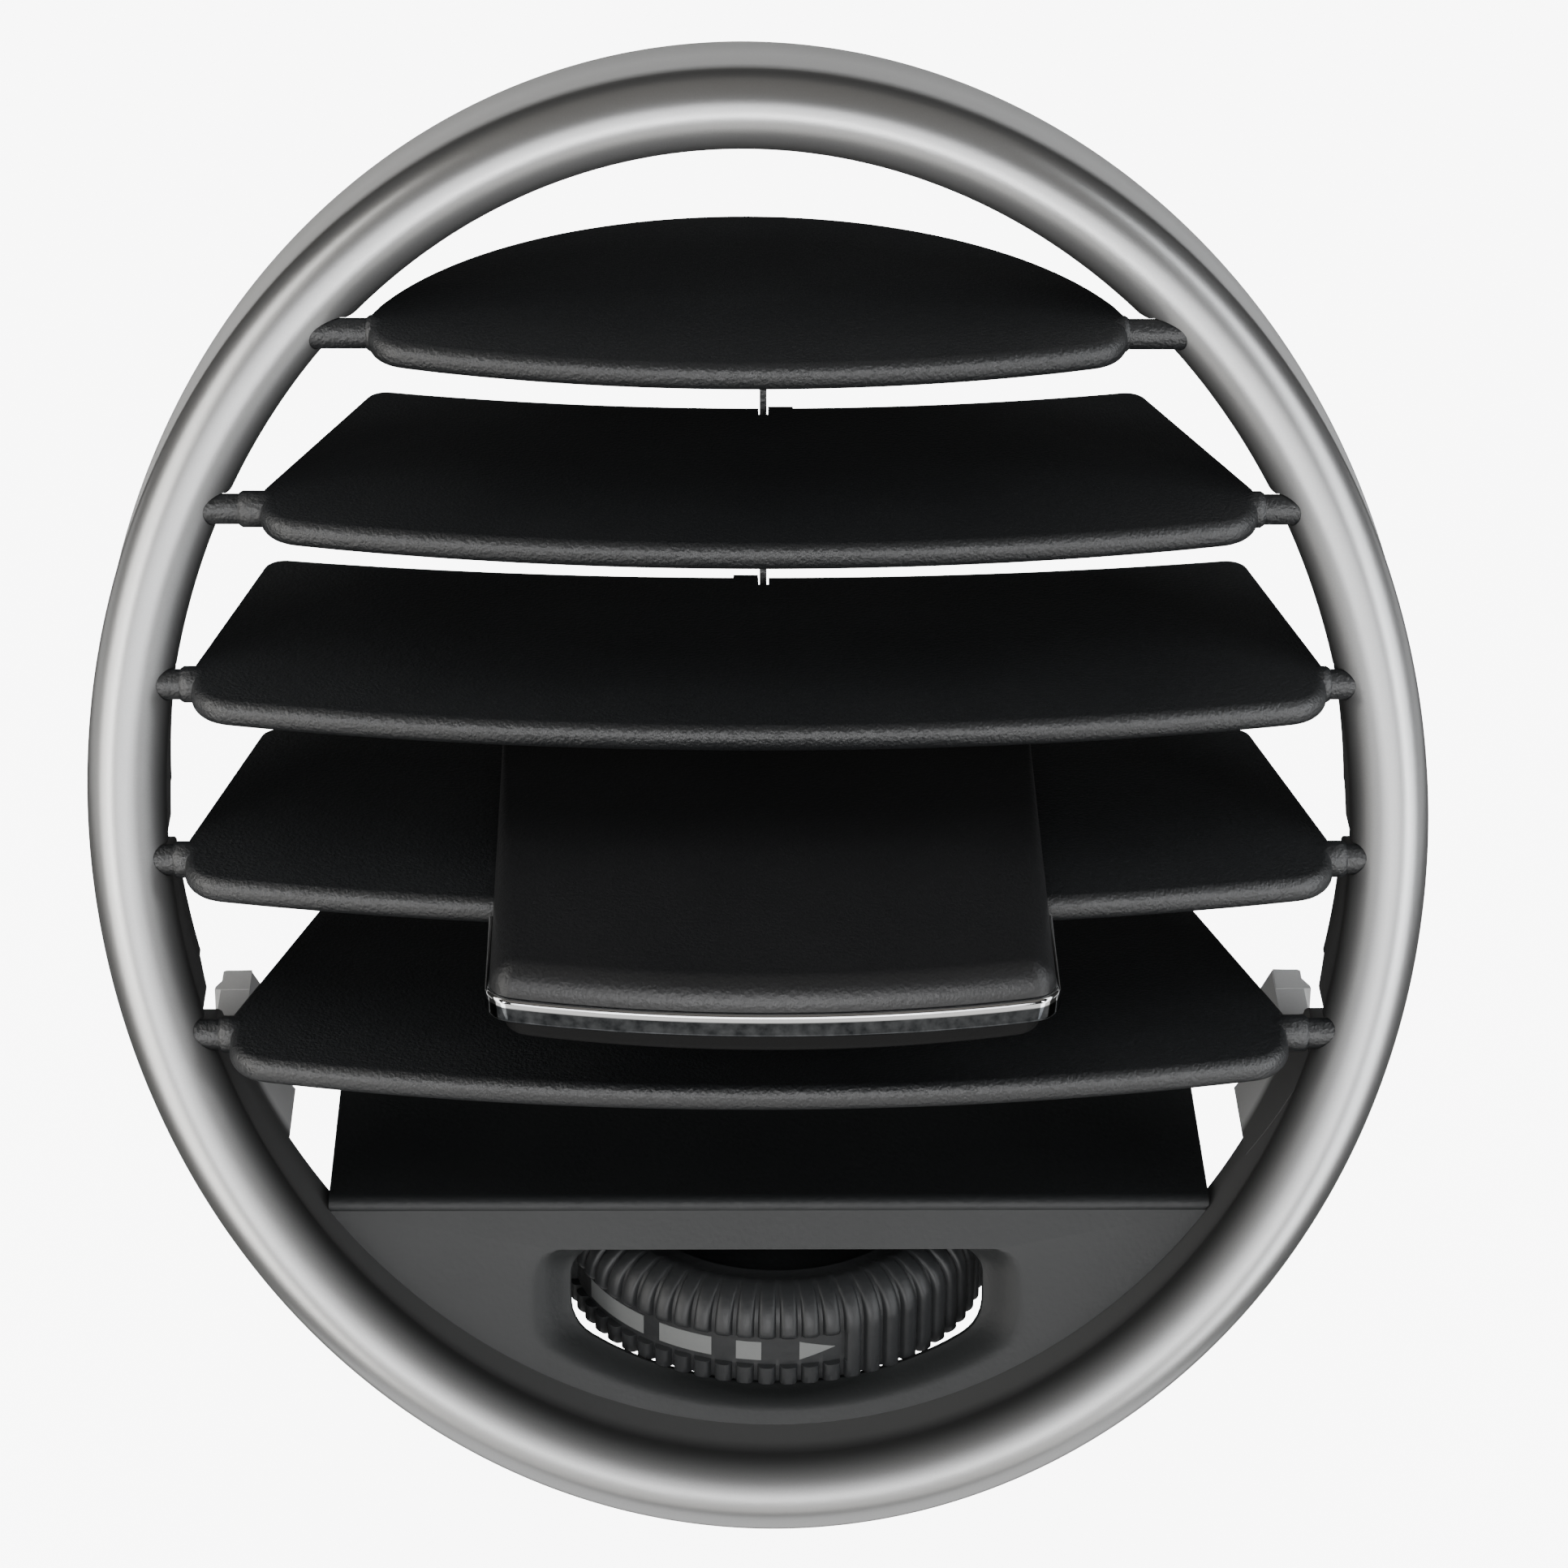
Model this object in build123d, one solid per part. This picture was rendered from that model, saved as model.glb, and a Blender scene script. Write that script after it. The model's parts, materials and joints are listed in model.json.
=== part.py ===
from build123d import *
import math
import os

os.makedirs("parts", exist_ok=True)

# Round dashboard air vent. All sizes are millimetres.
# The part's own frame: +Y runs back into the dash along the duct, +X is to the driver's right as the
# face is looked at, +Z is up. The origin is the middle of the bezel's face ring.

# Face ring
FACE_RAKE = 26.2          # lean of the face away from upright, degrees
RING_SHORT = 47.1         # half width of the ring's centre line, measured in the face
RING_LONG = 51.7          # half height of the ring's centre line, measured in the face
RING_ROLL = 7.8           # turn of the long axis in the face, degrees
TUBE_R = 2.95             # radius of the rounded front of the ring
NOSE_STEPS = (0, 34, 62, 82)    # degrees round the front at which its flats meet
RING_WALL = 1.5           # wall of the ring moulding
SKIRT_DEPTH = 5.8         # reach of the ring's two walls behind its centre line
NOSE_WALL = 0.6           # how far behind the centre line the hollow between the walls ends
RIB_COUNT = 10            # webs that tie the two walls of the ring together
RIB_THICK = 1.2

# Clearances, each the only source of its fit
RUN_FIT = 0.05            # radial clearance of every turning pin
SLIDE_FIT = 0.10          # clearance of the sliding pad under its vane
FREE_GAP = 0.35           # gap between parts that pass each other

# Vane stack
VANE_COUNT = 5
VANE_PITCH = 11.7         # upright distance from one pivot to the next
VANE_MID_Z = 8.36         # height of the middle pivot
PIVOT_LEAD = 1.2          # how far the pivots stand in front of the ring's centre plane
VANE_THICK = 2.2
VANE_HALF = [29.0, 37.0, 42.1, 42.6, 39.3]
TOP_RIGHT_HALF = 27.3     # the leaning ring leaves the top vane less room on its right
REAR_HALF = [0.0, 29.6, 37.7, 38.0, 33.0]
VANE_FRONT = [8.8, 9.0, 9.5, 9.5, 10.0]    # front edge ahead of the pivot at the middle
VANE_BOW = 4.6            # how much the front edge falls back at the ends
VANE_REAR = 16.3          # rear edge behind the pivot at the middle
REAR_BOW = 3.3            # how much further back the rear corners reach
TOP_VANE_REAR = 20.9      # the top vane's rear edge is one deep arc
SHOULDER = 1.2            # the vane's side starts to taper this far behind the pivot
FRONT_CORNER = 3.0
REAR_CORNER = 1.6
EDGE_BEVEL = 0.7
PIN_R = 1.15
PIN_BOSS_R = 1.35
PIN_BOSS_LEN = 1.5
SLOT_NECK = 1.9           # the ring's pin slots are narrower than the pins, which snap in
SLOT_MOUTH = 1.7

# Tie bar that keeps the vanes parallel
CRANK_BACK = 17.7         # crank pin behind its pivot
CRANK_DROP = 1.2          # and below it
CRANK_PIN_R = 0.75
BAR_X = 0.5
BAR_THICK = 0.5
BAR_WIDE = 3.0
LUG_WIDE = 1.9
LUG_R = 1.6
NOTCH_FRONT = 14.9
POCKET_REAR = 19.6        # the bar's top end hides in a pocket under the top vane
POCKET_TOP = 0.45

# Sliding knob on the fourth vane
KNOB_VANE = 3
KNOB_X = 0.7              # the knob is parked a little off the middle
KNOB_WIDE = 40.4
KNOB_FRONT = 24.3
KNOB_BOW = 2.5            # how much the knob's front falls back at its corners
KNOB_BACK = 14.0
KNOB_TOP = 3.0
KNOB_UNDER = -3.0
KNOB_SPLIT = 0.8          # underside of the cap's nose
TRIM_LOW = -1.3
TRIM_PROUD = 0.35
TRIM_WALL = 1.5
NOSE_BACK = 9.9
BASE_SETBACK = 4.2
LIP_R = 1.4
CAP_CORNER = 2.2
POST_WIDE = 4.0
POST_DEEP = 3.0
POST_BACK = 3.5
KNOB_TRAVEL = 12.0        # each way from the middle of the vane

# Control panel and shelf below the vanes
PANEL_SET = 3.0           # panel face behind the ring's centre plane, along the duct
PANEL_THICK = 1.8
PANEL_TOP_Z = -28.95
LOW_X = 0.8               # middle of the panel and the shelf
SHELF_TOP_Z = -28.0
SHELF_THICK = 1.6
SHELF_BACK_Y = 17.0
SHELF_HALF = 33.2
SHELF_LIP_R = 0.85
WINDOW_X = 1.4
WINDOW_HALF = 15.8
WINDOW_TOP = -35.2        # heights in the face, below the ring's middle
WINDOW_LOW = -46.3
WINDOW_ROUND = 3.2        # its lower corners
DISH_HALF = 18.9
DISH_LOW = -47.5
DISH_DEEP = 2.0
WELL_WALL = 1.3
WELL_DEEP = 3.2
TAB_X = 24.0
TAB_HALF = 4.0
TAB_BACK = 8.0
TAB_THICK = 1.8
SCREW_R = 1.1
SCREW_HEAD_R = 2.4
SCREW_HEAD_T = 1.5

# Thumbwheel
WHEEL_Y = -1.3
WHEEL_LOW_Z = -40.6
WHEEL_TALL = 7.4
WHEEL_R = 16.3            # over the ribs
RIB_DEEP = 0.6
WHEEL_RIBS = 60
WHEEL_RIB_WIDE = 1.25
DOME_R = 13.2             # where the ribs end on top
DOME_START = 4.6          # height at which the rim starts to lean in
DOME_IN = 0.9             # first flat of the dome, inwards
DOME_UP = 1.75            # and upwards
RIM_WALL = 2.2
TEETH_TALL = 1.6
BAND_TALL = 2.4
BAND_FROM = -76.0         # the plain band that carries the marks, degrees round the wheel
BAND_TO = 19.0
MARK_DEEP = 0.4
MARK_LOW = 0.4
MARK_TALL = 1.6
MARK_SPANS = [(-64.0, -40.0), (-34.5, -18.5), (-11.5, -4.5)]
ARROW_SPAN = (6.0, 16.0)
AXLE_R = 2.5
HUB_R = 4.6
HUB_LIFT = 0.6            # the hub's underside above the rim's
WEB_THICK = 1.8
BOSS_DROP = 2.0
CLIP_THICK = 0.8
CLIP_GROOVE_R = 2.0
RING_PAD = 0.35

# Snap arms on the ring
ARM_Z_LOW = -25.2
ARM_Z_HIGH = -17.0
ARM_REACH = 19.0
ARM_WALL = 2.0
BARB_OUT = 1.5
BARB_LONG = 3.0

RAKE = math.radians(FACE_RAKE)
SLOPE = math.tan(RAKE)
FACE = Plane(origin=(0, 0, 0), x_dir=(1, 0, 0), z_dir=(0, -math.cos(RAKE), math.sin(RAKE)))
INTO_FACE = (0, math.cos(RAKE), -math.sin(RAKE))
FAR = 120.0


def face_ellipse(grow, rise=0.0):
    """The ring's centre ellipse, grown evenly as seen along the duct and raised in front of the face."""
    oval = Ellipse(RING_SHORT + grow, RING_LONG + grow / math.cos(RAKE))
    return FACE * (Pos(0, 0, rise) * Rot(0, 0, RING_ROLL) * oval)


def along_duct(sketch, start, length):
    """Pull a sketch lying in the face back along the duct."""
    return extrude(Pos(0, start, 0) * sketch, amount=length, dir=(0, 1, 0))


def duct_bore(grow, start=-40.0, length=100.0):
    """Everything inside the ring's centre line, grown or shrunk, as a bar along the duct."""
    return along_duct(face_ellipse(grow), start, length)


def ring_x(z, side, grow=0):
    """Where the ring's centre line, or one grown from it, crosses a height, left (-1) or right (+1)."""
    v = z / math.cos(RAKE)
    c, s = math.cos(math.radians(RING_ROLL)), math.sin(math.radians(RING_ROLL))
    p, q = 1 / (RING_SHORT + grow)**2, 1 / (RING_LONG + grow / math.cos(RAKE))**2
    a = c * c * p + s * s * q
    b = 2 * v * s * c * (p - q)
    k = v * v * (s * s * p + c * c * q) - 1
    return (-b + side * math.sqrt(b * b - 4 * a * k)) / (2 * a)


def nose():
    """The ring's rounded front, as flats that follow the oval."""
    steps = [math.radians(a) for a in NOSE_STEPS]
    levels = [(TUBE_R * math.sin(a), TUBE_R * math.cos(a)) for a in steps]
    outer = loft([face_ellipse(half, rise) for rise, half in levels], ruled=True)
    above, below = (levels[-1][0] + 1, levels[-1][1]), (-1.0, TUBE_R)
    inner = loft([face_ellipse(-half, rise) for rise, half in [below] + levels + [above]], ruled=True)
    return outer - inner


def block(x0, x1, y0, y1, z0, z1):
    """A box given by its two corners."""
    centre = Pos((x0 + x1) / 2, (y0 + y1) / 2, (z0 + z1) / 2)
    return centre * Box(abs(x1 - x0), abs(y1 - y0), abs(z1 - z0))


def rod_x(radius, x0, x1, y, z):
    """A round bar along X."""
    return Pos((x0 + x1) / 2, y, z) * Rot(0, 90, 0) * Cylinder(radius, abs(x1 - x0))


def rod_z(radius, z0, z1, x, y):
    """A round bar along Z."""
    return Pos(x, y, (z0 + z1) / 2) * Cylinder(radius, abs(z1 - z0))


def side_prism(points, x0, x1):
    """A shape drawn in the side view as (y, z) points and pulled along X."""
    outline = Polyline(*[(x0, y, z) for y, z in points], close=True)
    return extrude(make_face(outline), amount=x1 - x0, dir=(1, 0, 0))


def pivots():
    """The (y, z) of each vane's pivot, top vane first."""
    heights = [VANE_MID_Z + (VANE_COUNT // 2 - i) * VANE_PITCH for i in range(VANE_COUNT)]
    return [(SLOPE * z - PIVOT_LEAD, z) for z in heights]


def build_ring():
    """The face ring: rounded front, two walls, webs between them, pin slots and snap arms."""
    deep, slack = SKIRT_DEPTH, TUBE_R - RING_WALL
    walls = duct_bore(TUBE_R, 0, deep) - duct_bore(-TUBE_R)
    hollow = duct_bore(slack, NOSE_WALL, deep) - duct_bore(-slack)
    ring = (nose() + walls) - hollow
    channel = duct_bore(slack + 0.3, NOSE_WALL - 0.3, deep - 1.0) - duct_bore(-slack - 0.3)
    for i in range(RIB_COUNT):
        spoke = block(20, 60, -60, 60, -RIB_THICK / 2, RIB_THICK / 2)
        web = Rot(0, 90 + (i + 0.5) * 360 / RIB_COUNT, 0) * spoke
        ring += channel & web
    inside = duct_bore(-slack)
    for y, z in pivots():
        x0, x1 = ring_x(z, -1) - 0.35, ring_x(z, 1) + 0.35
        ring -= rod_x(PIN_R + RUN_FIT, x0, x1, y, z)
        rear = SLOPE * z + deep
        half, wide = SLOT_NECK / 2, SLOT_NECK / 2 + SLOT_MOUTH
        edge = [(y, -half), (rear - 1.6, -half), (rear + 0.4, -wide), (rear + 9, -wide)]
        outline = [(a, z + b) for a, b in edge] + [(a, z - b) for a, b in reversed(edge)]
        ring -= side_prism(outline, -FAR / 2, FAR / 2) & inside
    return ring + snap_arm(-1) + snap_arm(1)


def snap_arm(side):
    """One arm that carries the ring's inner wall back to a barb."""
    mid = (ARM_Z_LOW + ARM_Z_HIGH) / 2
    root = SLOPE * mid + 1.0
    tip = SLOPE * mid + ARM_REACH
    outline = [(root, ARM_Z_LOW), (tip - 8, ARM_Z_LOW + 0.6), (tip - 5, mid - 1.7), (tip, mid - 1.7),
               (tip, mid + 1.7), (tip - 7, mid + 1.7), (tip - 11, ARM_Z_HIGH), (root, ARM_Z_HIGH)]
    reach = side * FAR / 2
    band = duct_bore(-TUBE_R + ARM_WALL) - duct_bore(-TUBE_R)
    arm = band & side_prism(outline, min(0, reach), max(0, reach))
    wall_x = ring_x(mid, side) - side * (TUBE_R - ARM_WALL) / math.cos(math.asin(mid / RING_SHORT))
    ramp = [(wall_x - side * 1.2, tip - BARB_LONG), (wall_x + side * BARB_OUT, tip - BARB_LONG),
            (wall_x + side * 0.2, tip), (wall_x - side * 1.2, tip)]
    outline = Polyline(*[(x, y, mid - 1.7) for x, y in ramp], close=True)
    barb = extrude(make_face(outline), amount=3.4, dir=(0, 0, 1))
    return arm + barb


def vane_end(i, side):
    """How far the vane's plate reaches to the left (-1) or the right (+1) of the middle."""
    return TOP_RIGHT_HALF if i == 0 and side > 0 else VANE_HALF[i]


def vane_plan(i):
    """The vane's outline in plan, pivot on the X axis, front edge towards -Y."""
    west, east, rear = -vane_end(i, -1), vane_end(i, 1), REAR_HALF[i]
    ends = -VANE_FRONT[i] + VANE_BOW
    front = ThreePointArc((west, ends), (0, -VANE_FRONT[i]), (east, ends))
    right, left = Line((east, ends), (east, SHOULDER)), Line((west, SHOULDER), (west, ends))
    if i == 0:
        back = [ThreePointArc((east, SHOULDER), (0, TOP_VANE_REAR), (west, SHOULDER))]
    else:
        corner = VANE_REAR + REAR_BOW
        back = [Line((east, SHOULDER), (rear, corner)),
                ThreePointArc((rear, corner), (0, VANE_REAR), (-rear, corner)),
                Line((-rear, corner), (west, SHOULDER))]
    plan = make_face(Curve() + [front, right, left] + back)
    plan = fillet(plan.vertices().filter_by(lambda v: v.Y < 0), FRONT_CORNER)
    if i > 0:
        plan = fillet(plan.vertices().filter_by(lambda v: v.Y > VANE_REAR), REAR_CORNER)
    return plan


def lug_side(i):
    """The crank lugs stand on alternate sides of the bar."""
    return 1 if i % 2 else -1


def build_vane(i, y, z):
    """One vane with its pivot pins, its crank lug and the slot the bar swings in."""
    body = extrude(Pos(0, 0, -VANE_THICK / 2) * vane_plan(i), amount=VANE_THICK)
    rims = body.edges().filter_by(lambda e: abs(e.center().Z) > VANE_THICK / 2 - 0.01)
    body = chamfer(rims.filter_by(lambda e: e.center().Y < 0), EDGE_BEVEL)
    for side in (-1, 1):
        shoulder = side * vane_end(i, side)
        wall = min(abs(ring_x(z + rise, side, -TUBE_R)) for rise in (-PIN_BOSS_R, PIN_BOSS_R))
        step = min(vane_end(i, side) + PIN_BOSS_LEN, wall - FREE_GAP)
        body += rod_x(PIN_BOSS_R, shoulder - side * 3.0, side * step, 0, 0)
        body += rod_x(PIN_R, shoulder, ring_x(z, side) - side * 0.1, 0, 0)
    gap = BAR_THICK / 2 + 0.15
    turn = lug_side(i)
    inner, outer = BAR_X + turn * gap, BAR_X + turn * (gap + LUG_WIDE)
    notch_rear, notch_top = (POCKET_REAR, POCKET_TOP) if i == 0 else (FAR, 5)
    body -= block(inner, BAR_X - turn * (gap + 0.45), NOTCH_FRONT, notch_rear, -5, notch_top)
    root = -VANE_THICK / 2 + 0.8
    body += block(inner, outer, VANE_REAR - 3, CRANK_BACK, root - 0.8, root)
    body += rod_x(LUG_R, inner, outer, CRANK_BACK, -CRANK_DROP)
    body += rod_x(CRANK_PIN_R, inner, BAR_X - turn * (gap + 0.35), CRANK_BACK, -CRANK_DROP)
    if i == KNOB_VANE:
        reach = KNOB_TRAVEL + POST_WIDE / 2 + FREE_GAP
        body -= block(-reach, reach, POST_BACK - POST_DEEP / 2 - FREE_GAP,
                      POST_BACK + POST_DEEP / 2 + FREE_GAP, -5, 5)
    return Pos(0, y, z) * body


def build_link(points):
    """The thin bar that joins all the crank pins."""
    (y0, z0), (y1, z1) = points[0], points[-1]
    span = math.hypot(y1 - y0, z1 - z0)
    lean = math.degrees(math.atan2(y0 - y1, z0 - z1))
    blank = Pos(BAR_X, (y0 + y1) / 2, (z0 + z1) / 2) * Rot(-lean, 0, 0) * Box(BAR_THICK, BAR_WIDE, span)
    for y, z in (points[0], points[-1]):
        blank += rod_x(BAR_WIDE / 2, BAR_X - BAR_THICK / 2, BAR_X + BAR_THICK / 2, y, z)
    for y, z in points:
        blank -= rod_x(CRANK_PIN_R + RUN_FIT, BAR_X - 2, BAR_X + 2, y, z)
    return blank


def knob_slab(wide, front, back, low, high, corner):
    """A plate of the knob with a bowed front and rounded corners, in the vane's own axes."""
    west, east = KNOB_X - wide / 2, KNOB_X + wide / 2
    ends = KNOB_BOW - front
    plate = make_face(Curve() + [
        ThreePointArc((west, ends), (KNOB_X, -front), (east, ends)), Line((east, ends), (east, back)),
        Line((east, back), (west, back)), Line((west, back), (west, ends))])
    plate = fillet(plate.vertices().filter_by(lambda v: v.Y < back - 1), corner)
    return extrude(Pos(0, 0, low) * plate, amount=high - low)


def build_knob():
    """The knob's four parts, in the vane's own axes."""
    roof = VANE_THICK / 2 + FREE_GAP
    cap = knob_slab(KNOB_WIDE, KNOB_FRONT, KNOB_BACK, roof, KNOB_TOP, CAP_CORNER)
    cap += knob_slab(KNOB_WIDE, KNOB_FRONT, -NOSE_BACK, KNOB_SPLIT, KNOB_TOP, CAP_CORNER)
    top = cap.faces().sort_by(Axis.Z)[-1]
    cap = fillet(top.edges().filter_by(lambda e: e.center().Y < KNOB_BACK - 0.1), LIP_R)
    grown = KNOB_WIDE + 2 * TRIM_PROUD
    bow = CAP_CORNER + TRIM_PROUD
    trim = knob_slab(grown, KNOB_FRONT + TRIM_PROUD, -NOSE_BACK, TRIM_LOW, KNOB_SPLIT, bow)
    hole = knob_slab(grown - 2 * TRIM_WALL, KNOB_FRONT + TRIM_PROUD - TRIM_WALL, 0, -9, 9, CAP_CORNER)
    trim -= hole
    floor = -VANE_THICK / 2 - FREE_GAP
    base = hole & block(-60, 60, -60, -NOSE_BACK, TRIM_LOW, KNOB_SPLIT)
    base += knob_slab(KNOB_WIDE - 2, KNOB_FRONT - BASE_SETBACK, KNOB_BACK - 2, KNOB_UNDER, floor, CAP_CORNER)
    chin = KNOB_FRONT - BASE_SETBACK
    base += knob_slab(KNOB_WIDE - 2, chin, -NOSE_BACK, floor - 0.1, TRIM_LOW, CAP_CORNER)
    post = block(KNOB_X - POST_WIDE / 2, KNOB_X + POST_WIDE / 2,
                 POST_BACK - POST_DEEP / 2, POST_BACK + POST_DEEP / 2, floor - 0.2, roof)
    pad = block(KNOB_X - 9, KNOB_X + 9, POST_BACK + POST_DEEP / 2 + 1, POST_BACK + POST_DEEP / 2 + 5,
                floor - 0.6, -VANE_THICK / 2 - SLIDE_FIT)
    base = base + post - pad
    return {"knob_cap": cap, "knob_trim": trim, "knob_base": base, "knob_friction_pad": pad}


def window_shape(half, top, low, corner):
    """A flat-topped, round-bottomed opening drawn in the face."""
    sag = (low - top) * 0.56
    left, right = WINDOW_X - half, WINDOW_X + half
    arc = ThreePointArc((left, top + sag), (WINDOW_X, low), (right, top + sag))
    outline = Curve() + [Line((left, top), (left, top + sag)), arc, Line((right, top + sag), (right, top)),
                         Line((right, top), (left, top))]
    shape = make_face(outline)
    shape = fillet(shape.vertices().filter_by(lambda v: v.Y < top - 0.1), WINDOW_ROUND)
    return fillet(shape.vertices().filter_by(lambda v: v.Y > top - 0.1), corner)


def build_panel():
    """The dark panel that closes the bottom of the ring and frames the thumbwheel."""
    cut = FACE * (Pos(0, PANEL_TOP_Z / math.cos(RAKE) - 60) * Rectangle(200, 120))
    skin = face_ellipse(-TUBE_R) & cut
    panel = along_duct(skin, PANEL_SET, PANEL_THICK / math.cos(RAKE))
    front = Plane(origin=(0, PANEL_SET, 0), x_dir=FACE.x_dir, z_dir=FACE.z_dir)
    well = window_shape(DISH_HALF - 0.4, WINDOW_TOP + 1.0, WINDOW_LOW - 1.2, 2.4)
    well = extrude(front * well, amount=WELL_DEEP, dir=INTO_FACE) & duct_bore(-TUBE_R)
    panel += well & along_duct(cut, 0, 30)
    window = window_shape(WINDOW_HALF, WINDOW_TOP, WINDOW_LOW, 2.0)
    mouth = window_shape(DISH_HALF, WINDOW_TOP, DISH_LOW, 2.4)
    panel -= loft([front * mouth, front * Pos(0, 0, -DISH_DEEP) * window], ruled=True)
    panel -= extrude(front * window, amount=WELL_DEEP + 1, dir=INTO_FACE)
    tab_z = SHELF_TOP_Z - SHELF_THICK
    panel_y = SLOPE * tab_z + PANEL_SET
    for x in (LOW_X - TAB_X, LOW_X + TAB_X):
        tab = block(x - TAB_HALF, x + TAB_HALF, panel_y + 0.8, panel_y + TAB_BACK, tab_z - TAB_THICK, tab_z)
        tab -= rod_z(SCREW_R + 0.1, tab_z - 9, tab_z + 9, x, panel_y + TAB_BACK - 3)
        panel += tab - along_duct(cut, -30, 30 + PANEL_SET)
    return panel


def build_shelf():
    """The shelf over the wheel, with the boss that carries the axle."""
    front = SLOPE * PANEL_TOP_Z + PANEL_SET
    low = SHELF_TOP_Z - SHELF_THICK
    shelf = block(LOW_X - SHELF_HALF, LOW_X + SHELF_HALF, front, SHELF_BACK_Y, low, SHELF_TOP_Z)
    lip = shelf.edges().filter_by(Axis.X).sort_by(lambda e: e.center().Y - e.center().Z)[0]
    shelf = fillet(lip, SHELF_LIP_R)
    shelf &= duct_bore(-TUBE_R)
    below = FACE * (Pos(0, PANEL_TOP_Z / math.cos(RAKE) - 60) * Rectangle(200, 120))
    shelf -= along_duct(below, -20, 20 + PANEL_SET + PANEL_THICK / math.cos(RAKE))
    shelf += rod_z(HUB_R, low - BOSS_DROP, low + 0.1, WINDOW_X, WHEEL_Y)
    shelf += block(LOW_X - 30, LOW_X + 30, SHELF_BACK_Y - 1.5, SHELF_BACK_Y, low - 2.5, low + 0.1)
    shelf -= rod_z(AXLE_R, low - BOSS_DROP - 1, low + 0.6, WINDOW_X, WHEEL_Y)
    panel_y = SLOPE * low + PANEL_SET
    for x in (LOW_X - TAB_X, LOW_X + TAB_X):
        shelf -= rod_z(SCREW_R, low - 1, low + 1.1, x, panel_y + TAB_BACK - 3)
    return shelf


def build_screw(side):
    """A pan-head screw that pulls the panel's tab up to the shelf."""
    low = SHELF_TOP_Z - SHELF_THICK
    x, y = LOW_X + side * TAB_X, SLOPE * low + PANEL_SET + TAB_BACK - 3
    seat = low - TAB_THICK
    head = rod_z(SCREW_HEAD_R, seat - SCREW_HEAD_T, seat, x, y)
    screw = chamfer(head.edges().sort_by(Axis.Z)[0], 0.4) + rod_z(SCREW_R, seat - 0.1, low + 1.0, x, y)
    for turn in (0, 90):
        screw -= Pos(x, y, seat - SCREW_HEAD_T) * Rot(0, 0, turn) * Box(0.6, 2.6, 1.6)
    return screw


def ribbed_outline(crest, height):
    """The wheel's toothed outline at one height: flat ribs with narrow grooves between them."""
    valley, step = crest - RIB_DEEP, 2 * math.pi / WHEEL_RIBS
    half = math.asin(WHEEL_RIB_WIDE / 2 / WHEEL_R)
    corners = [(valley, -half), (crest, -half), (crest, half), (valley, half)]
    ring = [(r, (i + 0.5) * step + a) for i in range(WHEEL_RIBS) for r, a in corners]
    return Pos(0, 0, height) * make_face(Polyline(*[(r * math.cos(a), r * math.sin(a)) for r, a in ring],
                                                  close=True))


def wheel_body():
    """The wheel's outside: an upright ribbed rim that leans in to a flat top."""
    levels = [(WHEEL_R, 0), (WHEEL_R, DOME_START), (WHEEL_R - DOME_IN, DOME_START + DOME_UP),
              (DOME_R, WHEEL_TALL)]
    return loft([ribbed_outline(crest, WHEEL_LOW_Z + rise) for crest, rise in levels], ruled=True)


def sector(r0, r1, from_deg, to_deg, z0, z1):
    """Part of a ring round the wheel's axle; zero degrees faces the user and grows to the right."""
    def at(radius, deg):
        a = math.radians(deg)
        return radius * math.sin(a), -radius * math.cos(a)
    mid = (from_deg + to_deg) / 2
    outline = Curve() + [
        ThreePointArc(at(r0, from_deg), at(r0, mid), at(r0, to_deg)), Line(at(r0, to_deg), at(r1, to_deg)),
        ThreePointArc(at(r1, to_deg), at(r1, mid), at(r1, from_deg)),
        Line(at(r1, from_deg), at(r0, from_deg))]
    return extrude(Pos(0, 0, z0) * make_face(outline), amount=z1 - z0)


def build_wheel():
    """The ribbed thumbwheel and the light marks let into its plain band."""
    low, top = WHEEL_LOW_Z, WHEEL_TALL
    valley = WHEEL_R - RIB_DEEP - 0.02
    band_low, band_high = low + TEETH_TALL, low + TEETH_TALL + BAND_TALL
    wheel = wheel_body() - sector(valley, WHEEL_R + 2, BAND_FROM, BAND_TO, band_low, band_high)
    web = low + DOME_START - 1.0
    wheel -= rod_z(valley - RIM_WALL, low - 1, web, 0, 0) - rod_z(HUB_R, low - 2, web + 1, 0, 0)
    wheel -= rod_z(DOME_R - RIM_WALL, web + WEB_THICK, low + top + 1, 0, 0)
    hub_top = SHELF_TOP_Z - SHELF_THICK - BOSS_DROP - RING_PAD - RUN_FIT
    wheel += rod_z(HUB_R, web, hub_top, 0, 0)
    wheel -= rod_z(AXLE_R + RUN_FIT, low - 1, hub_top + 1, 0, 0)
    wheel -= rod_z(HUB_R + 0.5, low - 1, low + HUB_LIFT, 0, 0)
    mark_z = band_low + MARK_LOW
    marks = Part() + [sector(valley - MARK_DEEP, valley + 0.05, a, b, mark_z, mark_z + MARK_TALL)
                      for a, b in MARK_SPANS]
    a, b = ARROW_SPAN
    arrow = sector(valley - MARK_DEEP, valley + 0.05, a, b, mark_z, mark_z + MARK_TALL)
    mid, reach = math.radians((a + b) / 2), math.radians(b - a) / 2 * valley
    outline = Polyline((-reach, 0, mark_z), (-reach, 0, mark_z + MARK_TALL),
                       (reach, 0, mark_z + MARK_TALL * 0.55), close=True)
    wedge = extrude(make_face(outline), amount=4, dir=(0, -1, 0))
    marks += arrow & (Rot(0, 0, math.degrees(mid)) * Pos(0, -valley + 2, 0) * wedge)
    place = Pos(WINDOW_X, WHEEL_Y, 0)
    return place * (wheel - marks), place * marks, hub_top


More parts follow.
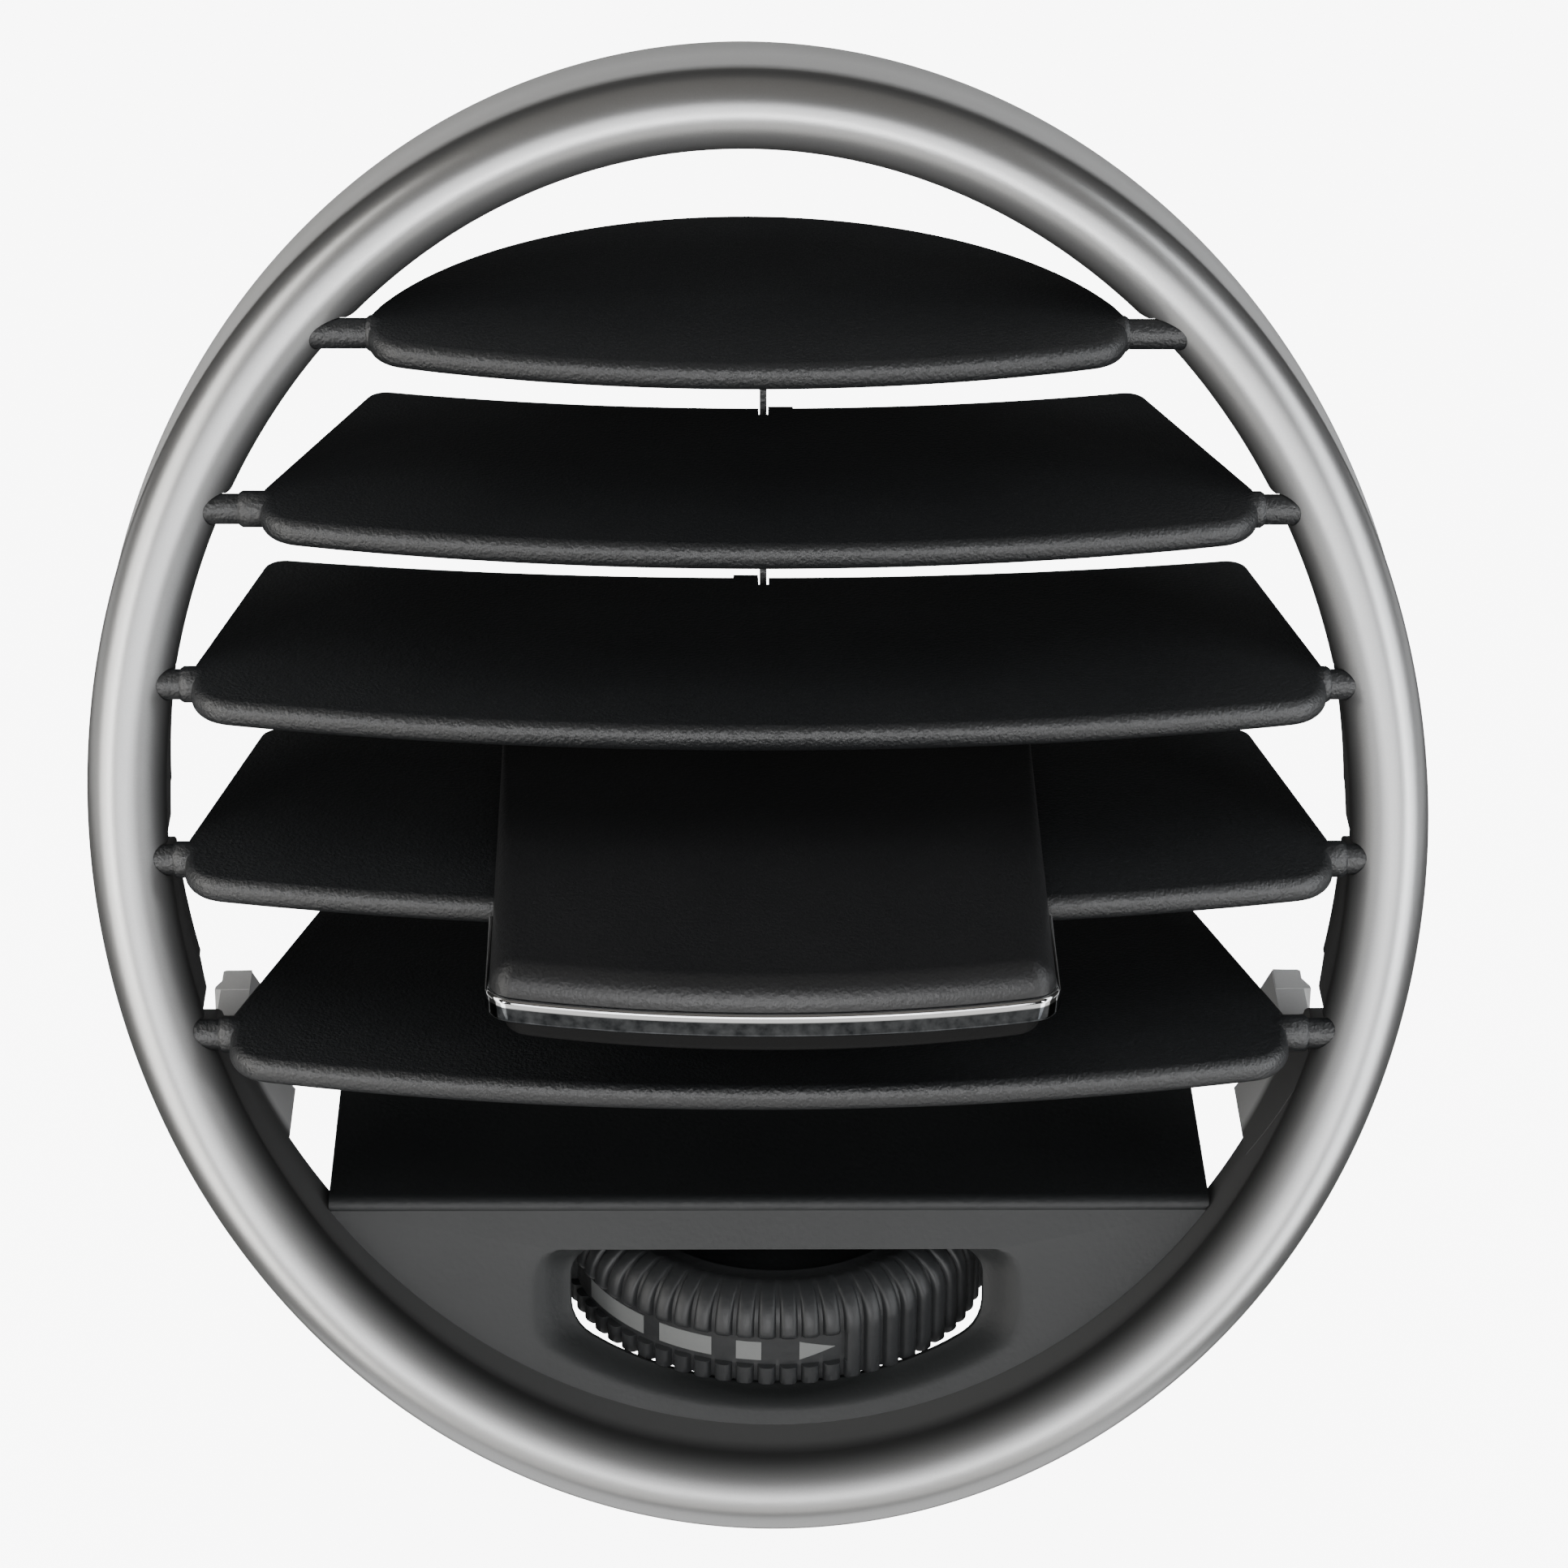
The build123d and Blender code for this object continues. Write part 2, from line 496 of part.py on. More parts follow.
def build_axle(hub_top):
    """The fixed axle, the clip under the hub and the friction ring over it."""
    low = SHELF_TOP_Z - SHELF_THICK
    clip_top = WHEEL_LOW_Z + HUB_LIFT - RUN_FIT
    clip_low = clip_top - CLIP_THICK
    axle = rod_z(AXLE_R, clip_low - 0.8, low + 0.6, 0, 0)
    core = rod_z(CLIP_GROOVE_R, clip_low - 1, clip_top + 1, 0, 0)
    groove = rod_z(AXLE_R + 1, clip_low, clip_top, 0, 0) - core
    clip = rod_z(HUB_R, clip_low, clip_top, 0, 0) - core
    clip -= block(-1.2, 1.2, 0, 9, clip_low - 1, clip_top + 1)
    pad = rod_z(HUB_R - 0.3, hub_top + RUN_FIT, low - BOSS_DROP, 0, 0) - rod_z(AXLE_R, -60, 0, 0, 0)
    place = Pos(WINDOW_X, WHEEL_Y, 0)
    return {"wheel_axle": place * (axle - groove), "wheel_clip": place * clip,
            "wheel_friction_ring": place * pad}


nodes = {"bezel_ring": build_ring()}
places = pivots()
for i, (y, z) in enumerate(places):
    nodes[f"vane_{i + 1}"] = build_vane(i, y, z)
nodes["vane_link"] = build_link([(y + CRANK_BACK, z - CRANK_DROP) for y, z in places])
knob_y, knob_z = places[KNOB_VANE]
for name, shape in build_knob().items():
    nodes[name] = Pos(0, knob_y, knob_z) * shape
nodes["control_panel"] = build_panel()
nodes["shelf"] = build_shelf()
nodes["panel_screw_left"] = build_screw(-1)
nodes["panel_screw_right"] = build_screw(1)
nodes["thumbwheel"], nodes["wheel_marks"], hub_top = build_wheel()
nodes.update(build_axle(hub_top))

for name, shape in nodes.items():
    export_step(shape, f"parts/{name}.step")
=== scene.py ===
"""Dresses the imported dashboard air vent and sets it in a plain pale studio."""

import json
import logging
import math
from dataclasses import dataclass, field
from enum import Enum
from typing import Callable, Iterable, Sequence

import bmesh
import bpy
from mathutils import Matrix, Vector


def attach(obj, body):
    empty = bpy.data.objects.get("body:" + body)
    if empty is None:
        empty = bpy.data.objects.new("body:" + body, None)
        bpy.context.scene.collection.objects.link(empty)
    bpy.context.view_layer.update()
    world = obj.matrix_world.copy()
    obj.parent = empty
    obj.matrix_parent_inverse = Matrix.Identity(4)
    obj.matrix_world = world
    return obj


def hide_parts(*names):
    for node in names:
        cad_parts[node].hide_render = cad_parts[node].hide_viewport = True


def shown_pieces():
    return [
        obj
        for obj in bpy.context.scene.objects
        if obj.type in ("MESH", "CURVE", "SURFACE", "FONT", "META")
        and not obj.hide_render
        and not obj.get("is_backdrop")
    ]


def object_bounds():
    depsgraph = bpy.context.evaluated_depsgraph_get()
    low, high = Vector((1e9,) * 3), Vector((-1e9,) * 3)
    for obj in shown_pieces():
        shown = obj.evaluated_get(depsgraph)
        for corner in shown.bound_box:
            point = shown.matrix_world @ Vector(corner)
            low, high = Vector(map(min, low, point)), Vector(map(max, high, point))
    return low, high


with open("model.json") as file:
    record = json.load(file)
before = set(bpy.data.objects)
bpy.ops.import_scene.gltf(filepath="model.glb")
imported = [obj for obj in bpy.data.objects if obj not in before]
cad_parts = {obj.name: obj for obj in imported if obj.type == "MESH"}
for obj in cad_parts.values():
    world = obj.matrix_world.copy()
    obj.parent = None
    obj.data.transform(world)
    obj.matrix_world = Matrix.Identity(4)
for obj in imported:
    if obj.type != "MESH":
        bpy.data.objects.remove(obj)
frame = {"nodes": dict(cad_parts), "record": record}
CAD_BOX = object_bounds()
LOG = logging.getLogger("air_vent")
MM = 0.001

Point2 = tuple[float, float]
Point3 = tuple[float, float, float]
Colour = tuple[float, float, float]
Radius = float | Callable[[Point2], float]


class Part(Enum):
    """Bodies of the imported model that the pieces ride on."""

    HOUSING = "housing"
    KNOB = "knob"
    WHEEL = "wheel"


# The ring's geometry, shared by the pieces that meet it


@dataclass(frozen=True)
class FaceRing:
    """The leaning oval that the bezel is swept along, and its tube's radius, in millimetres."""

    rake: float = math.radians(26.2)
    short: float = 47.1
    tall: float = 51.7
    roll: float = math.radians(7.8)
    tube: float = 2.95

    @property
    def slope(self) -> float:
        """How far back the face lies per millimetre of height."""
        return math.tan(self.rake)

    def at(self, angle: float, grow: float = 0.0) -> Point2:
        """A point of the oval as seen along the duct.

        Args:
            angle: Where on the oval, in radians.
            grow: How much larger the oval is.

        Returns:
            Its (x, z).
        """
        a, b = self.short + grow, self.tall + grow / math.cos(self.rake)
        p, q = a * math.cos(angle), b * math.sin(angle)
        u = p * math.cos(self.roll) - q * math.sin(self.roll)
        v = p * math.sin(self.roll) + q * math.cos(self.roll)
        return u, v * math.cos(self.rake)

    def point(self, angle: float) -> Vector:
        """A point of the centre line."""
        x, z = self.at(angle)
        return Vector((x, self.slope * z, z))

    def half_width(self, z: float, side: int, grow: float = 0.0) -> float:
        """Where the oval crosses a height.

        Args:
            z: The height.
            side: Left (-1) or right (+1).
            grow: How much larger the oval is.

        Returns:
            The crossing's x.
        """
        v = z / math.cos(self.rake)
        c, s = math.cos(self.roll), math.sin(self.roll)
        p, q = 1 / (self.short + grow) ** 2, 1 / (self.tall + grow / math.cos(self.rake)) ** 2
        a, b = c * c * p + s * s * q, 2 * v * s * c * (p - q)
        k = v * v * (s * s * p + c * c * q) - 1
        return (-b + side * math.sqrt(b * b - 4 * a * k)) / (2 * a)


RING = FaceRing()


# Shader maths


class Wire:
    """A shader socket that can be used in Python sums."""

    def __init__(self, tree: bpy.types.NodeTree, socket: bpy.types.NodeSocket) -> None:
        """Keep the tree and the socket that carries the value."""
        self.tree = tree
        self.socket = socket

    def _math(self, operation: str, *values: "Wire | float") -> "Wire":
        """Add one Math node.

        Args:
            operation: The Math node's operation.
            values: What goes into its inputs, in order.

        Returns:
            The node's output.
        """
        node = self.tree.nodes.new("ShaderNodeMath")
        node.operation = operation
        for socket, value in zip(node.inputs, values):
            if isinstance(value, Wire):
                self.tree.links.new(value.socket, socket)
            else:
                socket.default_value = value
        return Wire(self.tree, node.outputs[0])

    def __add__(self, other: "Wire | float") -> "Wire":
        """Sum with a wire or number."""
        return self._math("ADD", self, other)

    def __radd__(self, other: float) -> "Wire":
        """Sum with a number on the left."""
        return self._math("ADD", other, self)

    def __sub__(self, other: "Wire | float") -> "Wire":
        """Take away a wire or number."""
        return self._math("SUBTRACT", self, other)

    def __rsub__(self, other: float) -> "Wire":
        """Take this wire from a number."""
        return self._math("SUBTRACT", other, self)

    def __mul__(self, other: "Wire | float") -> "Wire":
        """Multiply by a wire or number."""
        return self._math("MULTIPLY", self, other)

    def __rmul__(self, other: float) -> "Wire":
        """Multiply a number by this wire."""
        return self._math("MULTIPLY", other, self)

    def clamp(self, low: float, high: float) -> "Wire":
        """Hold the value between two numbers."""
        return self._math("MINIMUM", self._math("MAXIMUM", self, low), high)


class Finish:
    """A material under construction."""

    def __init__(self, name: str) -> None:
        """Make an empty material with one Principled shader.

        Args:
            name: The material's name.
        """
        self.material = bpy.data.materials.new(name)
        self.material.use_nodes = True
        self.tree = self.material.node_tree
        self.shader = self.tree.nodes["Principled BSDF"]

    def node(self, kind: str, settings: dict | None = None, output: int | str = 0,
             **inputs: "Wire | float | Sequence[float]") -> Wire:
        """Add any node.

        Args:
            kind: Blender's type name of the node.
            settings: Properties that are set first.
            output: Which output to return.
            inputs: Values or wires for its sockets, by name with _ for spaces or by _number.

        Returns:
            The chosen output.
        """
        node = self.tree.nodes.new(kind)
        for key, value in (settings or {}).items():
            setattr(node, key, value)
        for key, value in inputs.items():
            socket = node.inputs[int(key[1:])] if key[0] == "_" else node.inputs[key.replace("_", " ")]
            if isinstance(value, Wire):
                self.tree.links.new(value.socket, socket)
            else:
                socket.default_value = value
        return Wire(self.tree, node.outputs[output])

    def place(self) -> Wire:
        """The piece's own coordinates, which move with it."""
        return self.node("ShaderNodeTexCoord", output="Object")

    def noise(self, scale: float, detail: float = 4.0, roughness: float = 0.55) -> Wire:
        """Cloudy noise.

        Args:
            scale: Waves per metre.
            detail: Octaves.
            roughness: Share of each finer octave.

        Returns:
            A value around one half.
        """
        return self.node("ShaderNodeTexNoise", Vector=self.place(), Scale=scale, Detail=detail,
                         Roughness=roughness)

    def axes(self) -> "tuple[Wire, Wire, Wire]":
        """The piece's own X, Y and Z, in metres."""
        node = self.node("ShaderNodeSeparateXYZ", Vector=self.place()).socket.node
        return tuple(Wire(self.tree, socket) for socket in node.outputs)

    def mix(self, factor: Wire, first: "Colour | Wire", second: "Colour | Wire") -> Wire:
        """Blend two colours.

        Args:
            factor: Share of the second colour.
            first: Colour where the factor is 0.
            second: Colour where the factor is 1.

        Returns:
            The blended colour.
        """
        low, high = (c if isinstance(c, Wire) else (*c, 1.0) for c in (first, second))
        return self.node("ShaderNodeMix", {"data_type": "RGBA"}, output=2, _0=factor, _6=low, _7=high)

    def set(self, **inputs: "Wire | float | Sequence[float]") -> None:
        """Set the Principled shader's sockets.

        Args:
            inputs: Values or wires, by the socket's name with _ for spaces.
        """
        for key, value in inputs.items():
            socket = self.shader.inputs[key.replace("_", " ")]
            if isinstance(value, Wire):
                self.tree.links.new(value.socket, socket)
            else:
                socket.default_value = value

    def relief(self, height: Wire, distance: float, strength: float = 1.0) -> None:
        """Drive the surface's normal from a height."""
        self.set(Normal=self.node("ShaderNodeBump", Height=height, Distance=distance, Strength=strength))


@dataclass(frozen=True)
class SatinPaint:
    """Silver paint on the bezel: metallic in front, flat on the walls behind, with painted shade darkening
    its inner side towards the duct.
    """

    name: str = "silver_paint"
    dim: Colour = (0.50, 0.50, 0.495)
    bright: Colour = (0.54, 0.545, 0.55)
    fleck: Colour = (0.44, 0.44, 0.44)
    # Colour of the painted shade on the ring's inner side
    painted_inner_shade: Colour = (0.021, 0.021, 0.021)
    rough: float = 0.34
    metal: float = 0.95
    flat_rough: float = 0.5
    flat_metal: float = 0.35
    flat_lead: float = 0.0005
    arm_start: float = 0.006
    sharpness: float = 800.0
    shade_gain: float = 8.5
    shade_lag: float = 0.08

    def make(self) -> bpy.types.Material:
        """Build the material.

        Returns:
            The new material.
        """
        f = Finish(self.name)
        flake = f.noise(9000.0, 2.0, 0.6)
        cloud = f.noise(55.0, 3.0)
        silver = f.mix(cloud, self.dim, self.bright)
        x, y, z = f.axes()
        deep = y - z * RING.slope
        wall = ((deep + self.flat_lead) * self.sharpness).clamp(0.0, 1.0)
        arm = ((deep - self.arm_start) * self.sharpness).clamp(0.0, 1.0)
        c, s = math.cos(RING.roll), math.sin(RING.roll)
        up = z * (1 / math.cos(RING.rake))
        p = (x * c + up * s) * (1 / (RING.short * MM))
        q = (up * c - x * s) * (1 / (RING.tall * MM))
        # Painted shade: the base colour darkens towards the ring's inner side, and roughness and metallic
        # change with it
        inside = ((1.0 - (p * p + q * q)) * self.shade_gain - self.shade_lag).clamp(0.0, 1.0) * (1.0 - arm)
        paint = f.mix(flake.clamp(0.3, 0.7) - 0.2, silver, self.fleck)
        metal = self.metal + wall * (self.flat_metal - self.metal) - inside * 0.4
        rough = self.rough + wall * (self.flat_rough - self.rough) + inside * 0.2
        f.set(Base_Color=f.mix(inside, paint, self.painted_inner_shade), Metallic=metal.clamp(0.0, 1.0),
              Roughness=rough + (cloud - 0.5) * 0.06 + (flake - 0.5) * 0.06)
        f.relief(flake * 0.5 + f.noise(1500.0, 2.0), 0.000012, 0.5)
        return f.material


@dataclass(frozen=True)
class MouldedPlastic:
    """Grained plastic: colours, roughness, grain per metre, its depth in metres and strength, and gloss."""

    name: str
    base: Colour
    worn: Colour
    rough: float
    grain: float
    depth: float
    strength: float
    gloss: float = 0.42

    def make(self) -> bpy.types.Material:
        """Build the material.

        Returns:
            The new material.
        """
        f = Finish(self.name)
        fine = f.noise(self.grain, 3.0, 0.6)
        pebble = f.node("ShaderNodeTexVoronoi", {"feature": "SMOOTH_F1"}, Vector=f.place(),
                        Scale=self.grain * 0.55)
        cloud = f.noise(90.0, 3.0)
        rough = self.rough + (cloud - 0.5) * 0.10 + (fine - 0.5) * 0.16
        f.set(Base_Color=f.mix((fine * 0.6 + cloud * 0.5 - 0.15).clamp(0.0, 1.0), self.base, self.worn),
              Roughness=rough.clamp(0.05, 1.0), Specular_IOR_Level=self.gloss)
        f.relief(fine * 0.6 + pebble * 0.7, self.depth, self.strength)
        return f.material


@dataclass(frozen=True)
class PlatedTrim:
    """Bright plating on the knob's strip: a clear line above a face with a painted dark, streaky reflection.
    """

    name: str = "chrome"
    clear: Colour = (0.86, 0.87, 0.88)
    # Painted reflection: dark colour with lighter streaks for the strip's face, standing for what the chrome
    # reflects
    dark: Colour = (0.02, 0.022, 0.024)
    painted_streak_reflection: Colour = (0.10, 0.105, 0.11)
    # Height in metres below which the painted dark reflection is used
    painted_reflection_top: float = -0.00304

    def make(self) -> bpy.types.Material:
        """Build the material.

        Returns:
            The new material.
        """
        f = Finish(self.name)
        smear = f.noise(220.0, 3.0)
        # Painted reflection: streaks and the dark face below the clear line stand for reflected vane and
        # lamps
        reflection_streak_mask = (f.noise(1100.0, 3.0) * 2.0 - 0.6).clamp(0.0, 1.0)
        below = ((self.painted_reflection_top - f.axes()[2]) * 9000.0).clamp(0.0, 1.0)
        lower = f.mix(reflection_streak_mask, self.dark, self.painted_streak_reflection)
        f.set(Base_Color=f.mix(below, self.clear, lower), Metallic=1.0, Roughness=0.05 + smear * 0.06)
        f.relief(f.noise(700.0, 2.0), 0.000015, 0.2)
        return f.material


@dataclass(frozen=True)
class TurnedSteel:
    """Zinc-plated steel of the screws and the axle."""

    name: str = "steel"
    base: Colour = (0.55, 0.55, 0.56)
    marked: Colour = (0.42, 0.42, 0.43)

    def make(self) -> bpy.types.Material:
        """Build the material.

        Returns:
            The new material.
        """
        f = Finish(self.name)
        turn = f.noise(2600.0, 3.0)
        f.set(Base_Color=f.mix(turn, self.base, self.marked), Metallic=1.0, Roughness=0.28 + turn * 0.2)
        f.relief(turn, 0.00002, 0.4)
        return f.material


@dataclass(frozen=True)
class SoftRubber:
    """Rubber of the friction pads."""

    name: str = "pad_rubber"
    base: Colour = (0.02, 0.02, 0.02)
    bloomed: Colour = (0.045, 0.045, 0.045)

    def make(self) -> bpy.types.Material:
        """Build the material.

        Returns:
            The new material.
        """
        f = Finish(self.name)
        bloom = f.noise(900.0, 4.0)
        f.set(Base_Color=f.mix(bloom, self.base, self.bloomed), Roughness=0.75 + bloom * 0.15)
        f.relief(bloom, 0.00004, 0.5)
        return f.material


# Name, base, worn, roughness, grain, its depth and strength, and gloss where it isn't the usual one
MOULDINGS = [
    MouldedPlastic("vane_black", (0.0055, 0.0062, 0.007), (0.01, 0.011, 0.012), 0.42, 6500, 10e-5, 0.9, 0.8),
    MouldedPlastic("knob_black", (0.0065, 0.007, 0.0075), (0.01, 0.01, 0.011), 0.42, 6000, 6e-5, 0.8, 0.65),
    # Black plastic of the knob's lower half, coloured darker and duller as painted shade under the cap
    MouldedPlastic("painted_shade_black", (0.003, 0.003, 0.0032), (0.005, 0.005, 0.005), 0.6, 4000, 6e-5, 0.6, 0.15),
    MouldedPlastic("shelf_black", (0.0065, 0.0075, 0.008), (0.011, 0.012, 0.013), 0.50, 3600, 6e-5, 0.6),
    MouldedPlastic("panel_grey", (0.0145, 0.0155, 0.016), (0.020, 0.0212, 0.0212), 0.55, 4200, 5e-5, 0.5),
    MouldedPlastic("wheel_black", (0.014, 0.015, 0.016), (0.028, 0.029, 0.030), 0.45, 3000, 6e-5, 0.5),
    MouldedPlastic("mark_grey", (0.13, 0.135, 0.135), (0.17, 0.175, 0.17), 0.5, 3000, 3e-5, 0.4)]


class Palette:
    """Every finish of the vent, made once."""

    def __init__(self) -> None:
        """Make the materials and keep them by name."""
        finishes = [SatinPaint(), *MOULDINGS, PlatedTrim(), TurnedSteel(), SoftRubber()]
        self.by_name = {f.name: f.make() for f in finishes}

    def dress(self, piece: bpy.types.Object, slot: str, finish: str = "") -> None:
        """Give a piece one finish all over.

        Args:
            piece: The piece.
            slot: The record's name of its slot, and of its finish unless one is named.
            finish: Another finish.
        """
        piece.data.materials.clear()
        piece.data.materials.append(self.by_name[finish or slot])


# Mesh making


@dataclass
class MeshMaker:
    """Collects points and faces in millimetres and turns them into a piece."""

    points: list[Point3] = field(default_factory=list)
    faces: list[tuple[int, ...]] = field(default_factory=list)

    def ring(self, loop: Iterable[Point3]) -> list[int]:
        """Add a loop of points.

        Args:
            loop: The points.

        Returns:
            Their numbers.
        """
        start = len(self.points)
        self.points.extend(loop)
        return list(range(start, len(self.points)))

    def bridge(self, first: list[int], second: list[int]) -> None:
        """Join two closed loops with quads.

        Args:
            first: The numbers of one loop's points.
            second: As many numbers for the other.
        """
        for i in range(len(first)):
            j = (i + 1) % len(first)
            self.faces.append((first[i], first[j], second[j], second[i]))

    def skin(self, loops: Sequence[Sequence[Point3]], looped: bool = False) -> None:
        """Cover a stack of loops.

        Args:
            loops: Loops of equal length.
            looped: Whether the last loop joins the first, or the two ends are closed.
        """
        rings = [self.ring(loop) for loop in loops]
        for a, b in zip(rings, rings[1:]):
            self.bridge(a, b)
        if looped:
            self.bridge(rings[-1], rings[0])
        else:
            self.faces.append(tuple(reversed(rings[0])))
            self.faces.append(tuple(rings[-1]))

    def turned(self, profile: Sequence[Point2], centre: Point3, steps: int) -> None:
        """Turn a profile about an axis along X.

        Args:
            profile: Pairs of a place along the axis and a radius, from one end to the other.
            centre: The point on the axis that the places are measured from.
            steps: Points round the axis.
        """
        loops = []
        for along, radius in profile:
            loop = []
            for k in range(steps):
                a = 2 * math.pi * k / steps
                offset = (along, radius * math.cos(a), radius * math.sin(a))
                loop.append(tuple(p + q for p, q in zip(centre, offset)))
            loops.append(loop)
        self.skin(loops)

    def box(self, low: Point3, high: Point3) -> None:
        """Add a plain box, as a cutter or a hidden form, between two opposite corners."""
        plan = [(low[0], low[1]), (high[0], low[1]), (high[0], high[1]), (low[0], high[1])]
        self.skin([[(x, y, z) for x, y in plan] for z in (low[2], high[2])])

    def build(self, name: str, smooth: float) -> bpy.types.Object:
        """Make the object.

        Args:
            name: The piece's name.
            smooth: Edges blunter than this many degrees are shaded smooth.

        Returns:
            The new object.
        """
        mesh = bpy.data.meshes.new(name)
        mesh.from_pydata([Vector(p) * MM for p in self.points], [], self.faces)
        work = bmesh.new()
        work.from_mesh(mesh)
        bmesh.ops.remove_doubles(work, verts=work.verts, dist=1e-7)
        bmesh.ops.recalc_face_normals(work, faces=work.faces)
        work.to_mesh(mesh)
        work.free()
        piece = bpy.data.objects.new(name, mesh)
        bpy.context.scene.collection.objects.link(piece)
        shade(piece, smooth)
        return piece


def shade(piece: bpy.types.Object, smooth: float) -> None:
    """Shade a piece smooth below an angle in degrees."""
    piece.data.polygons.foreach_set("use_smooth", [True] * len(piece.data.polygons))
    piece.data.set_sharp_from_angle(angle=math.radians(smooth))


def carve(piece: bpy.types.Object, cutter: MeshMaker, smooth: float) -> None:
    """Cut a form out of a piece for good.

    Args:
        piece: The piece.
        cutter: The form.
        smooth: Edges blunter than this many degrees are shaded smooth.
    """
    tool = cutter.build("cutter", smooth)
    step = piece.modifiers.new("cut", "BOOLEAN")
    step.operation, step.solver, step.object = "DIFFERENCE", "EXACT", tool
    step.use_self = True
    result = bpy.data.meshes.new_from_object(piece.evaluated_get(bpy.context.evaluated_depsgraph_get()))
    piece.modifiers.clear()
    piece.data = result
    bpy.data.objects.remove(tool)
    shade(piece, smooth)


def even_normals(piece: bpy.types.Object) -> None:
    """Let large flat faces keep their own shading beside rounded edges.

    Args:
        piece: The piece.
    """
    step = piece.modifiers.new("normals", "WEIGHTED_NORMAL")
    step.keep_sharp = True
    step.weight = 80


def arc_through(a: Point2, b: Point2, c: Point2, count: int) -> list[Point2]:
    """Follow the circle arc through three points.

    Args:
        a: Its start.
        b: A point between.
        c: Its end.
        count: How many points to make.

    Returns:
        Points along the arc.
    """
    (ax, ay), (bx, by), (cx, cy) = a, b, c
    d = 2 * (ax * (by - cy) + bx * (cy - ay) + cx * (ay - by))
    sa, sb, sc = ax * ax + ay * ay, bx * bx + by * by, cx * cx + cy * cy
    ux = (sa * (by - cy) + sb * (cy - ay) + sc * (ay - by)) / d
    uy = (sa * (cx - bx) + sb * (ax - cx) + sc * (bx - ax)) / d
    start, mid, end = (math.atan2(y - uy, x - ux) for x, y in (a, b, c))
    radius = math.hypot(ax - ux, ay - uy)
    mid = start + math.remainder(mid - start, 2 * math.pi)
    end = mid + math.remainder(end - mid, 2 * math.pi)
    return [(ux + radius * math.cos(start + (end - start) * k / (count - 1)),
             uy + radius * math.sin(start + (end - start) * k / (count - 1))) for k in range(count)]


def soften(outline: Sequence[Point2], corners: dict[int, float], steps: int = 8) -> list[Point2]:
    """Round chosen corners of an outline.

    Args:
        outline: Corner points in order.
        corners: Radius of each corner that is rounded, by its number.
        steps: Points along each rounded corner.

    Returns:
        The outline with its corners rounded.
    """
    made: list[Point2] = []
    count = len(outline)
    for i, here in enumerate(outline):
        radius = corners.get(i, 0.0)
        if radius <= 0:
            made.append(here)
            continue
        p, before, after = Vector(here), Vector(outline[i - 1]), Vector(outline[(i + 1) % count])
        u, v = (before - p).normalized(), (after - p).normalized()
        half = math.acos(max(-1.0, min(1.0, u.dot(v)))) / 2
        reach = radius / math.tan(half)
        centre = p + (u + v).normalized() * (radius / math.sin(half))
        start, end = p + u * reach - centre, p + v * reach - centre
        a0, a1 = math.atan2(start.y, start.x), math.atan2(end.y, end.x)
        turn = math.remainder(a1 - a0, 2 * math.pi)
        for k in range(steps + 1):
            a = a0 + turn * k / steps
            made.append((centre.x + radius * math.cos(a), centre.y + radius * math.sin(a)))
    return made


def thin_out(loop: Sequence[Point2], least: float) -> list[Point2]:
    """Drop the points of a loop that crowd.

    Args:
        loop: The loop.
        least: The least distance from one kept point to the next.

    Returns:
        The points that are kept.
    """
    kept = [loop[0]]
    for p in loop[1:]:
        if math.dist(p, kept[-1]) >= least:
            kept.append(p)
    if math.dist(kept[-1], kept[0]) < least:
        kept.pop()
    return kept


def inward(loop: Sequence[Point2]) -> list[Point2]:
    """Find the way into an outline.

    Args:
        loop: A counter-clockwise outline.

    Returns:
        At each point, the step that moves both its edges in by one.
    """
    steps = []
    for i, (x, y) in enumerate(loop):
        (x0, y0), (x1, y1) = loop[i - 1], loop[(i + 1) % len(loop)]
        a, b = Vector((x - x0, y - y0)).normalized(), Vector((x1 - x, y1 - y)).normalized()
        na, nb = Vector((-a.y, a.x)), Vector((-b.y, b.x))
        mean = (na + nb).normalized()
        steps.append(tuple(mean / max(0.35, mean.dot(na))))
    return steps


def plate(maker: MeshMaker, loop: Sequence[Point2], low: float, high: float, round_low: Radius,
          round_high: Radius, origin: Point2, steps: int) -> None:
    """Add a plate with rounded rims.

    Args:
        maker: The mesh that receives it.
        loop: Counter-clockwise outline.
        low: Height of the underside.
        high: Height of the top.
        round_low: Rim radius below: a number, or one worked out from a point of the outline.
        round_high: Rim radius above.
        origin: The (y, z) that the outline and the heights are measured from.
        steps: Steps round each rim.
    """
    into = inward(loop)
    loops = []
    for top, radius, level in ((False, round_low, low), (True, round_high, high)):
        for k in range(steps + 1) if top else range(steps, -1, -1):
            a = math.pi / 2 * k / steps
            ring = []
            for p, n in zip(loop, into):
                r = radius(p) if callable(radius) else radius
                back, rise = r * (1 - math.cos(a)), r * (1 - math.sin(a))
                z = level - rise if top else level + rise
                ring.append((p[0] + n[0] * back, origin[0] + (p[1] + n[1] * back), origin[1] + z))
            loops.append(ring)
    maker.skin(loops)


